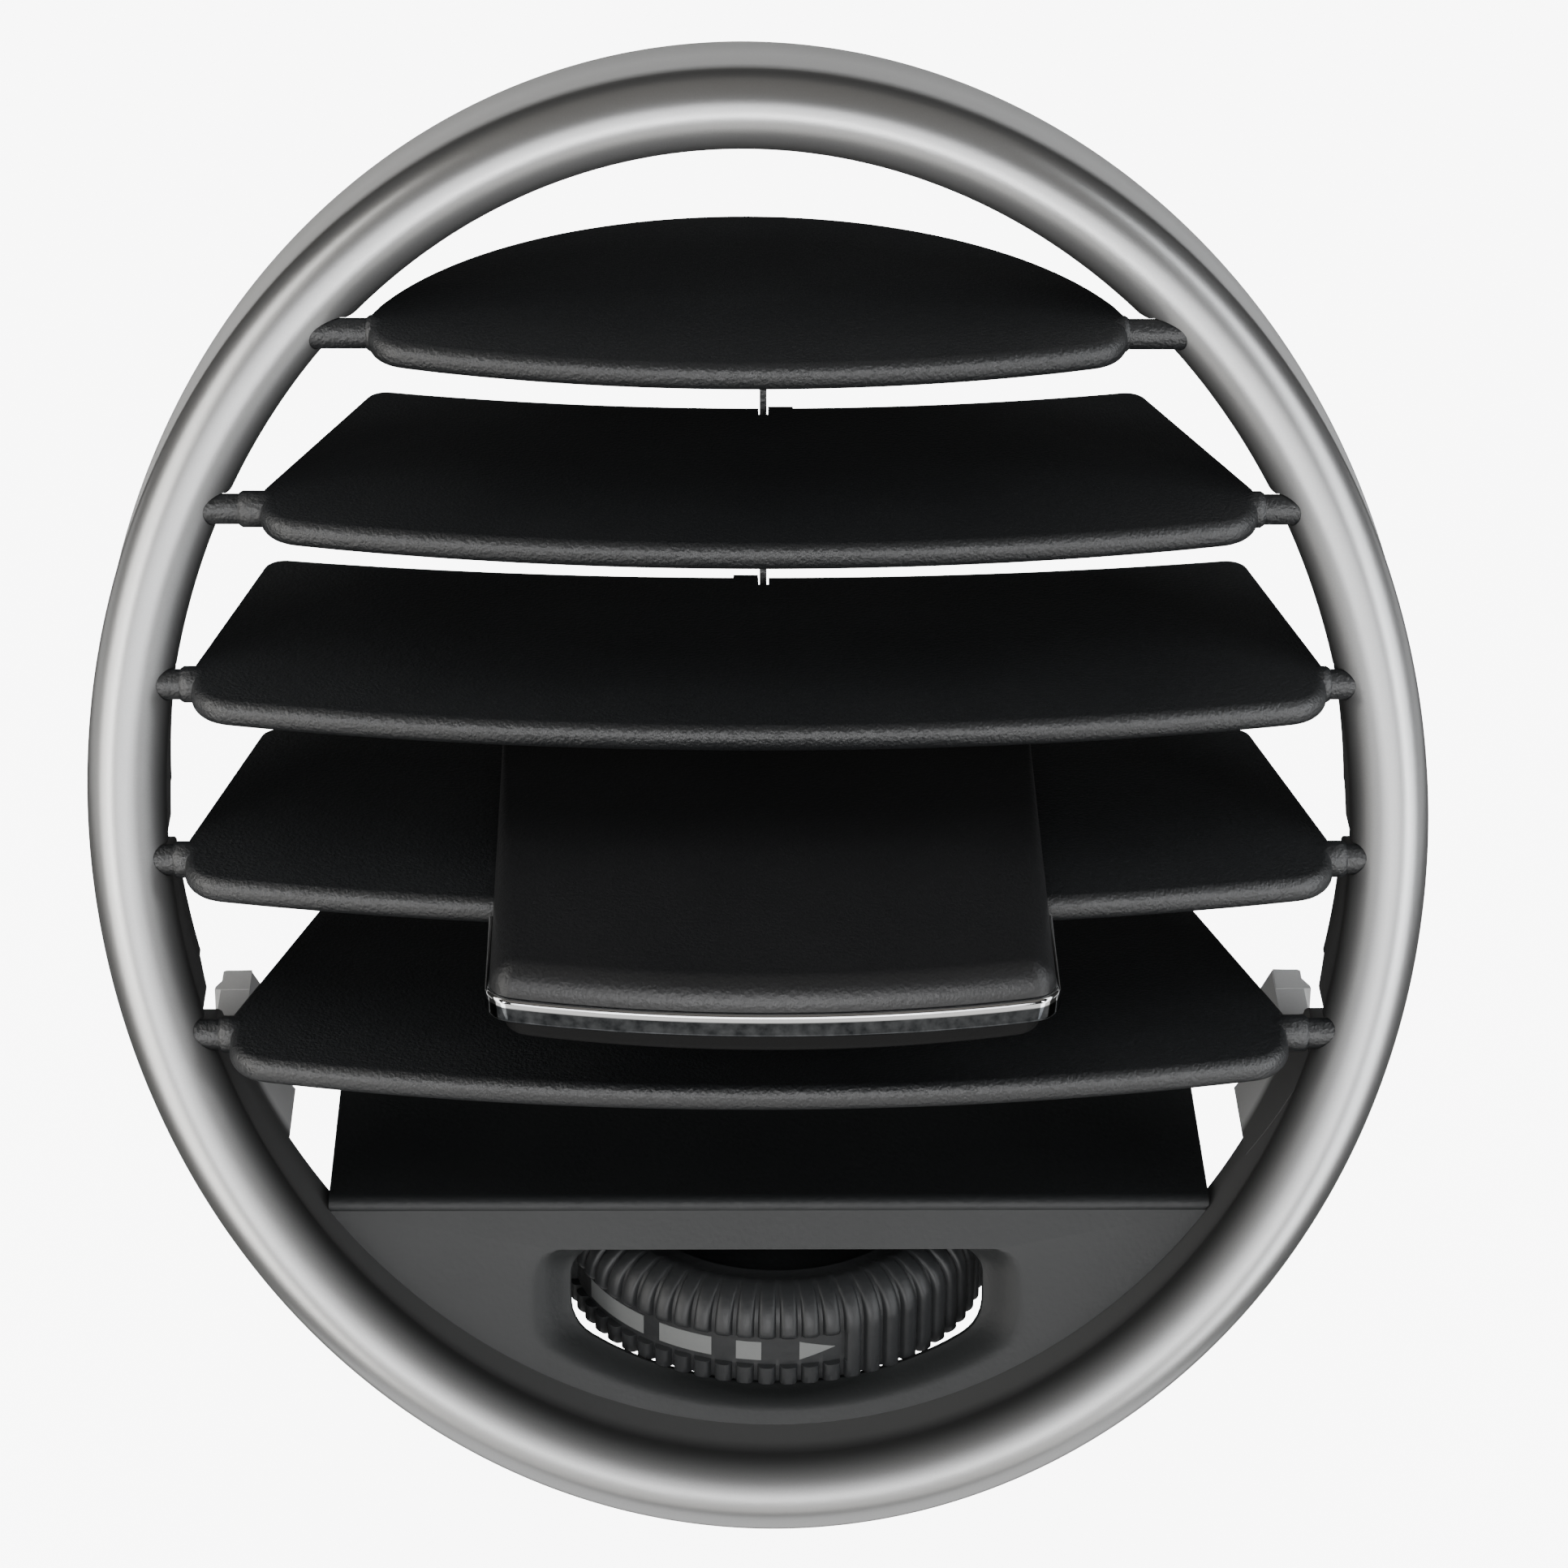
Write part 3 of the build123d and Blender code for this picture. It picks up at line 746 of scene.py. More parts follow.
@dataclass
class Bezel:
    """The silver ring with its walls, webs, pin slots and snap arms."""

    wall: float = 1.5
    inset: float = 0.12
    depth: float = 5.8
    around: int = 420
    webs: int = 10
    pin_hole: float = 1.2
    neck: float = 0.95
    mouth: float = 1.7
    lip: float = 0.25
    web_turn: float = 0.6 / 47
    arm_low: float = -25.2
    arm_high: float = -17.0
    arm_reach: float = 19.0
    arm_wall: float = 2.0
    barb_half: float = 1.7

    def section(self, angle: float) -> list[Point3]:
        """Draw the ring's cross-section.

        Args:
            angle: Where on the oval, in radians.

        Returns:
            Its points, from the outer rim round the front and back inside.
        """
        step = 1e-4
        centre = RING.point(angle)
        along = (RING.point(angle + step) - RING.point(angle - step)).normalized()
        duct = Vector((0, 1, 0))
        back = (duct - along * duct.dot(along)).normalized()
        out = back.cross(along).normalized()
        if out.dot(Vector((centre.x, 0, centre.z))) < 0:
            out = -out

        def rim(start: Vector, depth: float) -> Vector:
            """The point behind a start that lies a depth behind the face."""
            return Vector((start.x, RING.slope * start.z + depth, start.z))

        def bow(radius: float, start: float, sweep: float, count: int) -> list[Vector]:
            """Points of an arc about the centre line."""
            turns = (start + sweep * k / count for k in range(count + 1))
            return [centre + radius * (math.cos(p) * out - math.sin(p) * back) for p in turns]

        over = math.acos((RING.tube - self.inset) / RING.tube)
        front = bow(RING.tube, -over, math.pi + 2 * over, 34)
        outer, inner = front[0], front[-1]
        into, soft = out * self.lip, self.depth - self.lip
        chamfer = self.depth - self.lip * 0.3
        hollow = RING.tube - self.wall
        slack = hollow - self.inset
        made = [rim(outer - into, self.depth), rim(outer - into * 0.3, chamfer), rim(outer, soft),
                rim(outer, self.depth * 0.5), *front, rim(inner, self.depth * 0.5), rim(inner, soft),
                rim(inner + into * 0.3, chamfer), rim(inner + into, self.depth),
                rim(centre - out * slack, self.depth), *bow(hollow, math.pi, -math.pi, 10),
                rim(centre + out * slack, self.depth)]
        return [tuple(p) for p in made]

    def add_arm(self, maker: MeshMaker, side: int) -> None:
        """Add one snap arm that carries the inner wall back to a barb.

        Args:
            maker: The mesh that receives it.
            side: Left (-1) or right (+1).
        """
        mid = (self.arm_low + self.arm_high) / 2
        below, above = mid - self.barb_half, mid + self.barb_half
        root, tip = RING.slope * mid + 1.0, RING.slope * mid + self.arm_reach
        start, rest = self.arm_low + 0.6, self.arm_high - above
        stations = [(self.arm_low, tip - 8.0)]
        stations += [(start + (below - start) * k / 6, tip - 8 + 3.0 * k / 6) for k in range(7)]
        stations += [(below, tip), (mid, tip), (above, tip), (above, tip - 7)]
        stations += [(above + rest * k / 4, tip - 7 - 4.0 * k / 4) for k in range(1, 5)]
        soft = 0.2 * side
        loops = []
        for z, end in stations:
            near = RING.half_width(z, side, self.inset - RING.tube)
            far = RING.half_width(z, side, self.inset - RING.tube + self.arm_wall)
            loops.append([(near, root, z), (near, end - 0.2, z), (near + soft, end, z), (far - soft, end, z),
                          (far, end - 0.2, z), (far, root, z)])
        maker.skin(loops)
        tilt = math.cos(math.asin(mid / RING.short))
        wall = RING.half_width(mid, side) - side * (RING.tube - self.arm_wall) / tilt
        barb = [(-1.2, -3.0), (1.5, -3.0), (1.45, -2.6), (0.3, -0.1), (-1.2, 0.0)]
        maker.skin([[(wall + side * out, tip + back, z) for out, back in barb]
                    for z in (below + 0.06, above + 0.04)])

    def add_webs(self, maker: MeshMaker) -> None:
        """Add the webs that tie the two walls together behind the front.

        Args:
            maker: The mesh that receives them.
        """
        slack = RING.tube - self.wall - self.inset + 0.3
        for k in range(self.webs):
            turn = math.radians(90 + (k + 0.5) * 360 / self.webs)
            angle = math.atan2(math.cos(turn), math.sin(turn))
            loops = []
            for shift in (-self.web_turn, self.web_turn):
                ends = [RING.at(angle + shift, grow) for grow in (-slack, slack)]
                loops.append([(x, RING.slope * z + deep, z) for deep, row in
                              ((0.6, ends), (self.depth - 1, ends[::-1])) for x, z in row])
            maker.skin(loops)

    def slots(self, stack: "VaneStack") -> MeshMaker:
        """Draw what is cut out of the inner wall for the vanes' pins.

        Args:
            stack: The vanes.

        Returns:
            The form to cut with.
        """
        cutter = MeshMaker()
        half, wide = self.neck, self.neck + self.mouth
        start = math.asin(half / self.pin_hole)
        turns = [start + (2 * math.pi - 2 * start) * k / 20 for k in range(21)]
        for y, z in stack.pivots():
            rear = RING.slope * z + self.depth
            bore = [(y + self.pin_hole * math.cos(a), z + self.pin_hole * math.sin(a)) for a in turns]
            edge = [(rear - 1.6, z - half), (rear + 0.4, z - wide), (rear + 4, z - wide),
                    (rear + 4, z + wide), (rear + 0.4, z + wide), (rear - 1.6, z + half)]
            for side in (-1, 1):
                ends = RING.half_width(z, side) + side * 0.35, RING.half_width(z, side, -RING.tube - 4)
                cutter.skin([[(x, p, q) for p, q in bore + edge] for x in sorted(ends)])
        return cutter

    def build(self, palette: Palette, stack: "VaneStack") -> None:
        """Make and dress the bezel.

        Args:
            palette: The finishes.
            stack: The vanes that its slots are cut for.
        """
        maker = MeshMaker()
        turns = [2 * math.pi * k / self.around for k in range(self.around)]
        maker.skin([self.section(angle) for angle in turns], looped=True)
        piece = maker.build("bezel", 40)
        carve(piece, self.slots(stack), 40)
        extras = MeshMaker()
        for side in (-1, 1):
            self.add_arm(extras, side)
        self.add_webs(extras)
        for made in (piece, extras.build("bezel_arms", 30)):
            palette.dress(made, "silver_paint")
            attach(made, Part.HOUSING.value)
        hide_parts("bezel_ring")


@dataclass
class VaneStack:
    """The five vanes, their pins and cranks."""

    count: int = 5
    pitch: float = 11.7
    middle: float = 8.36
    lead: float = 1.2
    thick: float = 2.2
    halves: tuple[float, ...] = (29.0, 37.0, 42.1, 42.6, 39.3)
    top_right: float = 27.3
    rears: tuple[float, ...] = (0.0, 29.6, 37.7, 38.0, 33.0)
    fronts: tuple[float, ...] = (8.8, 9.0, 9.5, 9.5, 10.0)
    bow: float = 4.6
    rear: float = 16.3
    rear_bow: float = 3.3
    top_rear: float = 20.9
    shoulder: float = 1.2
    pin: float = 1.15
    boss: float = 1.38
    bar_x: float = 0.5
    gap: float = 0.4
    lug_wide: float = 1.9
    lug_round: float = 1.6
    crank_back: float = 17.7
    crank_drop: float = 1.2
    front_rim: float = 0.85
    rear_rim: float = 0.28
    notch_front: float = 14.9
    knob_slot: tuple[float, float, float] = (14.35, 1.65, 5.35)

    def pivots(self) -> list[Point2]:
        """The (y, z) of each pivot, top vane first."""
        heights = [self.middle + (self.count // 2 - i) * self.pitch for i in range(self.count)]
        return [(RING.slope * z - self.lead, z) for z in heights]

    def end(self, i: int, side: int) -> float:
        """How far a vane's plate reaches to one side."""
        return self.top_right if i == 0 and side > 0 else self.halves[i]

    def outline(self, i: int) -> list[Point2]:
        """Draw a vane in plan.

        Args:
            i: Which vane, 0 at the top.

        Returns:
            Its outline, counter-clockwise from the front left corner.
        """
        west, east, rear = -self.end(i, -1), self.end(i, 1), self.rears[i]
        ends = -self.fronts[i] + self.bow
        loop = arc_through((west, ends), (0, -self.fronts[i]), (east, ends), 61)
        last = len(loop) - 1
        corners = {0: 3.4, last: 3.4}
        if i == 0:
            back = arc_through((east, self.shoulder), (0, self.top_rear), (west, self.shoulder), 81)
            loop += back
            corners |= {last + 1: 1.0, last + 81: 1.0}
        else:
            tail = self.rear + self.rear_bow
            back = arc_through((rear, tail), (0, self.rear), (-rear, tail), 61)
            loop += [(east, self.shoulder)] + back + [(west, self.shoulder)]
            corners |= {last + 1: 2.0, last + 2: 1.6, last + 62: 1.6, last + 63: 2.0}
        slim = [p for k, p in enumerate(loop) if k in corners or self._clear(p, loop, corners)]
        renumbered = {slim.index(loop[k]): r for k, r in corners.items()}
        return thin_out(soften(slim, renumbered, 9), 0.05)

    def _clear(self, p: Point2, loop: list[Point2], corners: dict[int, float]) -> bool:
        """Whether an arc point is far enough from every rounded corner to stay."""
        return all(math.dist(p, loop[k]) > r * 1.35 for k, r in corners.items())

    def rim(self, p: Point2) -> float:
        """The rim radius of a vane's top at a point of its outline, finer at the rear."""
        share = max(0.0, min(1.0, (p[1] + 1.0) / 3.0))
        return self.front_rim * (1 - share) + self.rear_rim * share

    def add_pin(self, maker: MeshMaker, i: int, side: int, y: float, z: float) -> None:
        """Add a stepped pin, turned from the vane's end into the ring's wall.

        Args:
            maker: The mesh that receives it.
            i: Which vane.
            side: Left (-1) or right (+1).
            y: The pivot's place in depth.
            z: The pivot's height.
        """
        edge, seat = self.end(i, side), abs(RING.half_width(z, side)) - 0.1
        nearest = min(abs(RING.half_width(z + rise, side, -RING.tube)) for rise in (-self.boss, self.boss))
        step = max(edge + 0.1, min(edge + 1.6, nearest - 0.35))
        profile = [(edge - 2.2, 0.2), (edge - 1.6, 0.9), (edge - 0.9, 1.12), (edge - 0.2, self.boss),
                   (step - 0.2, self.boss), (step, self.boss - 0.12), (step + 0.12, self.pin),
                   (seat - 0.4, self.pin), (seat, self.pin - 0.35), (seat, 0.01)]
        maker.turned([(side * along, r) for along, r in profile], (0, y, z), 32)

    def make_vane(self, i: int, y: float, z: float) -> bpy.types.Object:
        """Build one vane with its pins, its crank and its cuts.

        Args:
            i: Which vane.
            y: The pivot's place in depth.
            z: The pivot's height.

        Returns:
            The vane.
        """
        maker = MeshMaker()
        half = self.thick / 2
        plate(maker, self.outline(i), -half, half, lambda p: self.rim(p) * 1.4, self.rim, (y, z), 7)
        for side in (-1, 1):
            self.add_pin(maker, i, side, y, z)
        turn = 1 if i % 2 else -1
        inner, outer = self.bar_x + turn * self.gap, self.bar_x + turn * (self.gap + self.lug_wide)
        round_off = self.lug_round
        lug = [(self.crank_back + round_off * math.cos(a), -self.crank_drop + round_off * math.sin(a))
               for a in (math.radians(-110 + 200 * k / 14) for k in range(15))]
        lug += [(self.rear - 3.0, -0.3), (self.rear - 3.0, -1.1)]
        maker.skin([[(x, y + back, z + up) for back, up in lug] for x in sorted((inner, outer))])
        crank_pin = [(0.3, 0.75), (-0.7, 0.75), (-0.8, 0.6), (-0.8, 0.01)]
        maker.turned([(turn * along, r) for along, r in crank_pin],
                     (inner, y + self.crank_back, z - self.crank_drop), 20)
        piece = maker.build(f"vane_{i + 1}_skin", 38)
        if i:
            low, high = sorted((inner, self.bar_x - turn * self.gap))
            self.cut_ways(piece, i, y, z, (low, high))
        even_normals(piece)
        return piece

    def cut_ways(self, piece: bpy.types.Object, i: int, y: float, z: float, span: Point2) -> None:
        """Cut the bar's notch, and in the fourth vane the knob's slot.

        Args:
            piece: The vane.
            i: Which vane.
            y: The pivot's place in depth.
            z: The pivot's height.
            span: The notch's left and right sides.
        """
        cutter = MeshMaker()
        cutter.box((span[0], y + self.notch_front, z - 5), (span[1], y + 30, z + 5))
        if i == 3:
            half, front, back = self.knob_slot
            cutter.box((-half, y + front, z - 5), (half, y + back, z + 5))
        carve(piece, cutter, 38)

    def build(self, palette: Palette) -> None:
        """Make and dress every vane.

        Args:
            palette: The finishes.
        """
        for i, (y, z) in enumerate(self.pivots()):
            piece = self.make_vane(i, y, z)
            palette.dress(piece, "vane_black")
            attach(piece, f"vane_body_{i + 1}")
            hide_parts(f"vane_{i + 1}")


@dataclass
class Knob:
    """The sliding knob: black cap, bright strip and lower half."""

    x: float = 0.7
    wide: float = 40.4
    front: float = 24.3
    bow: float = 2.5
    back: float = 14.0
    top: float = 3.0
    split: float = 0.8
    trim_low: float = -1.05
    proud: float = 0.35
    nose_back: float = 9.9
    corner: float = 2.2
    lip: float = 2.05
    roof: float = 1.45

    def outline(self, grow: float, back: float, corner: float) -> list[Point2]:
        """Draw the knob in plan with a slightly bowed front.

        Args:
            grow: How far beyond the cap's sides and front.
            back: Where it ends at the rear.
            corner: Radius of the front corners.

        Returns:
            The outline, from the front left corner.
        """
        half = self.wide / 2 + grow
        low = -(self.front + grow)
        ends = low + self.bow
        front = arc_through((self.x - half, ends), (self.x, low), (self.x + half, ends), 41)
        inner = [p for p in front if min(abs(p[0] - self.x - half), abs(p[0] - self.x + half)) > corner * 1.2]
        loop = [front[0]] + inner + [front[-1], (self.x + half, back), (self.x - half, back)]
        return soften(loop, {0: corner, len(inner) + 1: corner}, 10)

    def rim(self, p: Point2) -> float:
        """The radius of the cap's upper rim at a point of its outline."""
        return 0.25 if p[1] > self.back - 0.05 else self.lip

    def cap(self, y: float, z: float) -> bpy.types.Object:
        """Build the black top, hollow where the vane passes.

        Args:
            y: The vane's pivot in depth.
            z: The pivot's height.

        Returns:
            The top.
        """
        maker = MeshMaker()
        loop = self.outline(0.0, self.back, self.corner)
        plate(maker, loop, self.split, self.top, 0.12, self.rim, (y, z), 9)
        piece = maker.build("knob_top", 38)
        cutter = MeshMaker()
        cutter.box((-60, y - self.nose_back, z - 5), (60, y + 60, z + self.roof))
        carve(piece, cutter, 38)
        return piece

    def strip(self, y: float, z: float) -> bpy.types.Object:
        """Build the bright strip round the nose.

        Args:
            y: The vane's pivot in depth.
            z: The pivot's height.

        Returns:
            The strip.
        """
        maker = MeshMaker()
        loop = self.outline(self.proud, -self.nose_back, self.corner + self.proud)
        plate(maker, loop, self.trim_low, self.split, 0.35, 0.3, (y, z), 8)
        return maker.build("knob_strip", 38)

    def base(self, y: float, z: float) -> bpy.types.Object:
        """Build the lower half and its post.

        Args:
            y: The vane's pivot in depth.
            z: The pivot's height.

        Returns:
            The lower half.
        """
        maker = MeshMaker()
        floor = -self.roof
        plate(maker, self.outline(-1.0, self.back - 2, self.corner), -3.0, floor, 0.6, 0.15, (y, z), 5)
        core = self.outline(-1.06, -self.nose_back, self.corner)
        plate(maker, core, floor - 0.3, self.trim_low + 0.1, 0.1, 0.1, (y, z), 2)
        maker.box((self.x - 2, y + 2, z + floor - 0.2), (self.x + 2, y + 5, z + self.roof))
        return maker.build("knob_lower", 38)

    def build(self, palette: Palette, y: float, z: float) -> None:
        """Make and dress the knob's shown pieces.

        Args:
            palette: The finishes.
            y: The fourth vane's pivot in depth.
            z: The pivot's height.
        """
        # The lower half gets the black plastic coloured darker as painted shade under the cap
        for piece, slot, finish, node in ((self.cap(y, z), "knob_black", "", "knob_cap"),
                                          (self.strip(y, z), "chrome", "", "knob_trim"),
                                          (self.base(y, z), "knob_black", "painted_shade_black", "knob_base")):
            even_normals(piece)
            palette.dress(piece, slot, finish)
            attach(piece, Part.KNOB.value)
            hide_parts(node)


@dataclass
class Panel:
    """The dark panel with its dished window; a mouth is (half width, top, bottom) in the panel's face."""

    set_back: float = 3.0
    thick: float = 1.8
    top: float = -28.95
    middle: float = 1.4
    window: tuple[float, float, float] = (15.65, -35.2, -45.6)
    dish: tuple[float, float, float] = (18.9, -35.2, -47.5)
    dish_deep: float = 2.0
    well_deep: float = 3.2
    edge: float = 2.83
    tab_x: float = 24.0
    tab_z: float = -29.6
    centre: float = 0.8

    def on_face(self, u: float, v: float, deep: float) -> Point3:
        """A point from its place in the panel's face and its depth behind it."""
        s, c = math.sin(RING.rake), math.cos(RING.rake)
        return u, v * s + self.set_back + deep * c, v * c - deep * s

    def mouth(self, spec: tuple[float, float, float], corner: float, count: int = 120) -> list[Point2]:
        """Draw a flat-topped, round-bottomed mouth.

        Args:
            spec: The mouth.
            corner: Radius of its upper corners.
            count: How many points to make.

        Returns:
            Evenly spaced points from the middle of its top.
        """
        half, top, low = spec
        sag = (low - top) * 0.56
        left, right = self.middle - half, self.middle + half
        arc = arc_through((left, top + sag), (self.middle, low), (right, top + sag), 61)
        arc = [p for p in arc if half - abs(p[0] - self.middle) > 2.6 or p in (arc[0], arc[-1])]
        turns = {0: corner, 1: 3.2, len(arc): 3.2, len(arc) + 1: corner}
        loop = [(self.middle, top)] + soften([(left, top)] + arc + [(right, top)], turns, 8)
        steps = [0.0]
        for a, b in zip(loop, loop[1:] + loop[:1]):
            steps.append(steps[-1] + math.dist(a, b))
        made, k = [], 0
        for i in range(count):
            want = steps[-1] * i / count
            while steps[k + 1] < want:
                k += 1
            share = (want - steps[k]) / max(1e-9, steps[k + 1] - steps[k])
            a, b = loop[k], loop[(k + 1) % len(loop)]
            made.append((a[0] + (b[0] - a[0]) * share, a[1] + (b[1] - a[1]) * share))
        return made

    def outline(self) -> list[Point2]:
        """Draw the panel in its own face.

        Returns:
            The bottom of the duct, closed by a straight top.
        """
        top = self.top / math.cos(RING.rake)
        span = [RING.half_width(self.top, side, -self.edge) for side in (-1, 1)]
        loop: list[Point2] = []
        for k in range(401):
            x, z = RING.at(2 * math.pi * k / 400, -self.edge)
            if z < self.top - 0.02:
                loop.append((x, z / math.cos(RING.rake)))
        start = max(range(len(loop)), key=lambda k: math.dist(loop[k], loop[k - 1]))
        loop = loop[start:] + loop[:start]
        ends = [(span[0], top), (span[1], top)]
        if math.dist(loop[0], ends[0]) > math.dist(loop[0], ends[1]):
            ends.reverse()
        return thin_out([ends[0]] + loop + [ends[1]], 0.2)

    def sheet(self, maker: MeshMaker, outer: list[int], inner: list[int]) -> None:
        """Fill the flat area between an outline and a hole in it.

        Args:
            maker: The mesh that holds both loops.
            outer: The numbers of the outline's points.
            inner: The numbers of the hole's points.
        """
        work = bmesh.new()
        numbers = outer + inner
        verts = [work.verts.new(maker.points[k]) for k in numbers]
        tag = dict(zip(verts, numbers))
        edges = []
        for loop in (verts[:len(outer)], verts[len(outer):]):
            edges += [work.edges.new((loop[k - 1], loop[k])) for k in range(len(loop))]
        made = bmesh.ops.triangle_fill(work, edges=edges, use_beauty=True, use_dissolve=False)
        for face in (g for g in made["geom"] if isinstance(g, bmesh.types.BMFace)):
            maker.faces.append(tuple(tag[v] for v in face.verts))
        work.free()

    def bowl(self, maker: MeshMaker) -> list[list[int]]:
        """Add the points of the dish and of the window's wall.

        Args:
            maker: The mesh that receives them.

        Returns:
            Loops from the dish's rim down to the panel's back.
        """
        mouth, window = self.mouth(self.dish, 2.4), self.mouth(self.window, 2.0)
        loops = []
        for k in range(11):
            t = k / 10
            reach = t ** 0.85
            fall = self.dish_deep * (t * t * (3 - 2 * t) * 0.75 + 0.25 * t * t)
            loops.append([self.on_face(m[0] + (w[0] - m[0]) * reach, m[1] + (w[1] - m[1]) * reach, fall)
                          for m, w in zip(mouth, window)])
        into = [(self.middle - w[0], (self.window[1] + self.window[2]) / 2 - w[1]) for w in window]
        size = [math.hypot(*d) for d in into]
        for grow, deep in ((-0.06, self.dish_deep + 0.12), (-0.06, self.well_deep), (1.2, self.well_deep),
                           (1.2, self.thick)):
            loops.append([self.on_face(w[0] - d[0] / n * grow, w[1] - d[1] / n * grow, deep)
                          for w, d, n in zip(window, into, size)])
        return [maker.ring(loop) for loop in loops]

    def build(self, palette: Palette) -> None:
        """Make and dress the panel.

        Args:
            palette: The finishes.
        """
        maker = MeshMaker()
        edge = self.outline()
        turn = 1 if sum(a[0] * b[1] - b[0] * a[1] for a, b in zip(edge, edge[1:] + edge[:1])) > 0 else -1
        edge = edge[::turn]
        rim = maker.ring([self.on_face(u, v, 0.0) for u, v in edge])
        bowl = self.bowl(maker)
        self.sheet(maker, rim, bowl[0])
        for first, second in zip(bowl, bowl[1:]):
            maker.bridge(first, second)
        back = maker.ring([self.on_face(u, v, self.thick) for u, v in edge])
        self.sheet(maker, back, bowl[-1])
        maker.bridge(rim, back)
        start = RING.slope * self.tab_z + self.set_back
        for x in (self.centre - self.tab_x, self.centre + self.tab_x):
            tab = soften([(x - 4, start + 1.2), (x + 4, start + 1.2), (x + 4, start + 8), (x - 4, start + 8)],
                         {2: 1.2, 3: 1.2}, 6)
            plate(maker, tab, self.tab_z - 1.8, self.tab_z, 0.2, 0.05, (0.0, 0.0), 3)
        piece = maker.build("panel_face", 28)
        palette.dress(piece, "panel_grey")
        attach(piece, Part.HOUSING.value)
        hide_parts("control_panel")


@dataclass
class Thumbwheel:
    """The ribbed wheel and the light marks on its plain band."""

    centre: Point2 = (1.4, -1.3)
    low: float = -40.6
    tall: float = 7.4
    radius: float = 16.3
    rib_deep: float = 0.6
    ribs: int = 60
    dome: float = 13.2
    dome_start: float = 4.6
    rim_wall: float = 2.2
    teeth: float = 1.6
    band: float = 2.4
    band_span: Point2 = (-76.0, 19.0)
    marks: tuple[Point2, ...] = ((-64.0, -40.0), (-34.5, -18.5), (-11.5, -4.5))
    arrow: Point2 = (6.0, 16.0)
    mark_tall: float = 1.6
    mark_lift: float = 0.4
    mark_droop: float = 0.55
    hub: float = 4.6
    bore: float = 2.55
    hub_top: float = -32.0

    def at(self, radius: float, degrees: float, height: float) -> Point3:
        """A point on the wheel; zero degrees faces the user, and the angle grows to the right."""
        a = math.radians(degrees)
        return self.centre[0] + radius * math.sin(a), self.centre[1] - radius * math.cos(a), self.low + height

    def outside(self) -> list[tuple[float, float, float]]:
        """Draw the outside.

        Returns:
            Radius, height and share of the rib's depth, from the underside to the inner top.
        """
        r = self.radius
        side = [(r - 0.9, 0.0, 0.0), (r - 0.35, 0.0, 0.75), (r - 0.1, 0.06, 0.9), (r, 0.2, 1.0)]
        side += [(r, h, 1.0) for h in (0.8, 1.3, 1.5, 1.6, 1.63, 2.4, 3.2, 3.85, 3.9, 4.0, 4.12, 4.35, 4.6)]
        bulge = r - 0.75, self.dome_start + 1.75
        top = arc_through((r, self.dome_start), bulge, (self.dome, self.tall), 13)
        side += [(a, b, 1.0) for a, b in top[1:]]
        side += [(self.dome - 0.12, self.tall - 0.02, 0.85), (self.dome - 0.25, self.tall - 0.1, 0.3)]
        return side

    def rib_shape(self) -> list[Point2]:
        """One rib as (place in its pitch, height share)."""
        half = [(0.0, 1.0), (0.13, 0.98), (0.24, 0.9), (0.31, 0.76), (0.36, 0.52), (0.39, 0.2), (0.415, 0.03)]
        return [(-p, h) for p, h in reversed(half[1:])] + half + [(0.5, 0.0)]

    def inside(self) -> list[Point2]:
        """Draw the inside.

        Returns:
            Radius and height from the inner top, round the web, hub and bore, to the underside.
        """
        web, lift = self.dome_start - 1.0, 0.6
        inner = self.radius - self.rib_deep - self.rim_wall
        neck = self.dome - self.rim_wall
        crown = self.hub_top - self.low
        hub, bore = self.hub, self.bore
        return [(self.dome - self.rib_deep - 0.35, self.tall - 0.28), (neck + 0.2, self.tall - 0.3),
                (neck, self.tall - 0.5), (neck, web + 1.8), (hub + 0.3, web + 1.8), (hub, web + 2.1),
                (hub, crown - 0.2), (hub - 0.2, crown), (bore, crown), (bore, lift), (hub, lift), (hub, web),
                (inner - 0.3, web), (inner, web - 0.3), (inner, 0.15), (inner + 0.15, 0.0)]

    def section(self, degrees: float, rib: float) -> list[Point3]:
        """Draw the wheel's cross-section at one angle.

        Args:
            degrees: Where round the wheel.
            rib: How high the rib stands there, from 0 to 1.

        Returns:
            Its points; on the plain band the rib is left out.
        """
        plain = self.band_span[0] < math.remainder(degrees, 360) < self.band_span[1]
        over = self.teeth + self.band + 0.02
        loop = []
        for radius, up, amount in self.outside():
            if plain and self.teeth < up < over:
                amount = 0.0
            elif plain and over <= up < 4.3:
                amount *= 0.7
            elif plain and up <= self.teeth and rib <= 0.5:
                amount *= 0.9
            cut = self.rib_deep * (1 - rib * amount)
            if up >= self.tall - 0.05:
                cut = self.rib_deep * (1 - rib) * 0.6
            scale = 1.0 if up <= self.dome_start else max(0.55, 1 - (up - self.dome_start) / 8)
            loop.append(self.at(radius - cut * scale, degrees, up))
        return loop + [self.at(radius, degrees, up) for radius, up in self.inside()]

    def add_mark(self, maker: MeshMaker, span: Point2, last: float) -> None:
        """Add one mark to the plain band.

        Args:
            maker: The mesh that receives it.
            span: Where it starts and ends, in degrees.
            last: Its height at the end; it starts at the full height.
        """
        valley = self.radius - self.rib_deep
        under, over = valley - 0.3, valley + 0.04
        steps = max(6, int(abs(span[1] - span[0])))
        loops = []
        for k in range(steps + 1):
            t = k / steps
            tall = self.mark_tall + (last - self.mark_tall) * t
            base = self.teeth + self.mark_lift + self.mark_droop * (self.mark_tall - tall)
            high = base + max(tall, 0.02)
            d = span[0] + (span[1] - span[0]) * t
            corners = (under, base), (over, base), (over, high), (under, high)
            loops.append([self.at(radius, d, up) for radius, up in corners])
        maker.skin(loops)

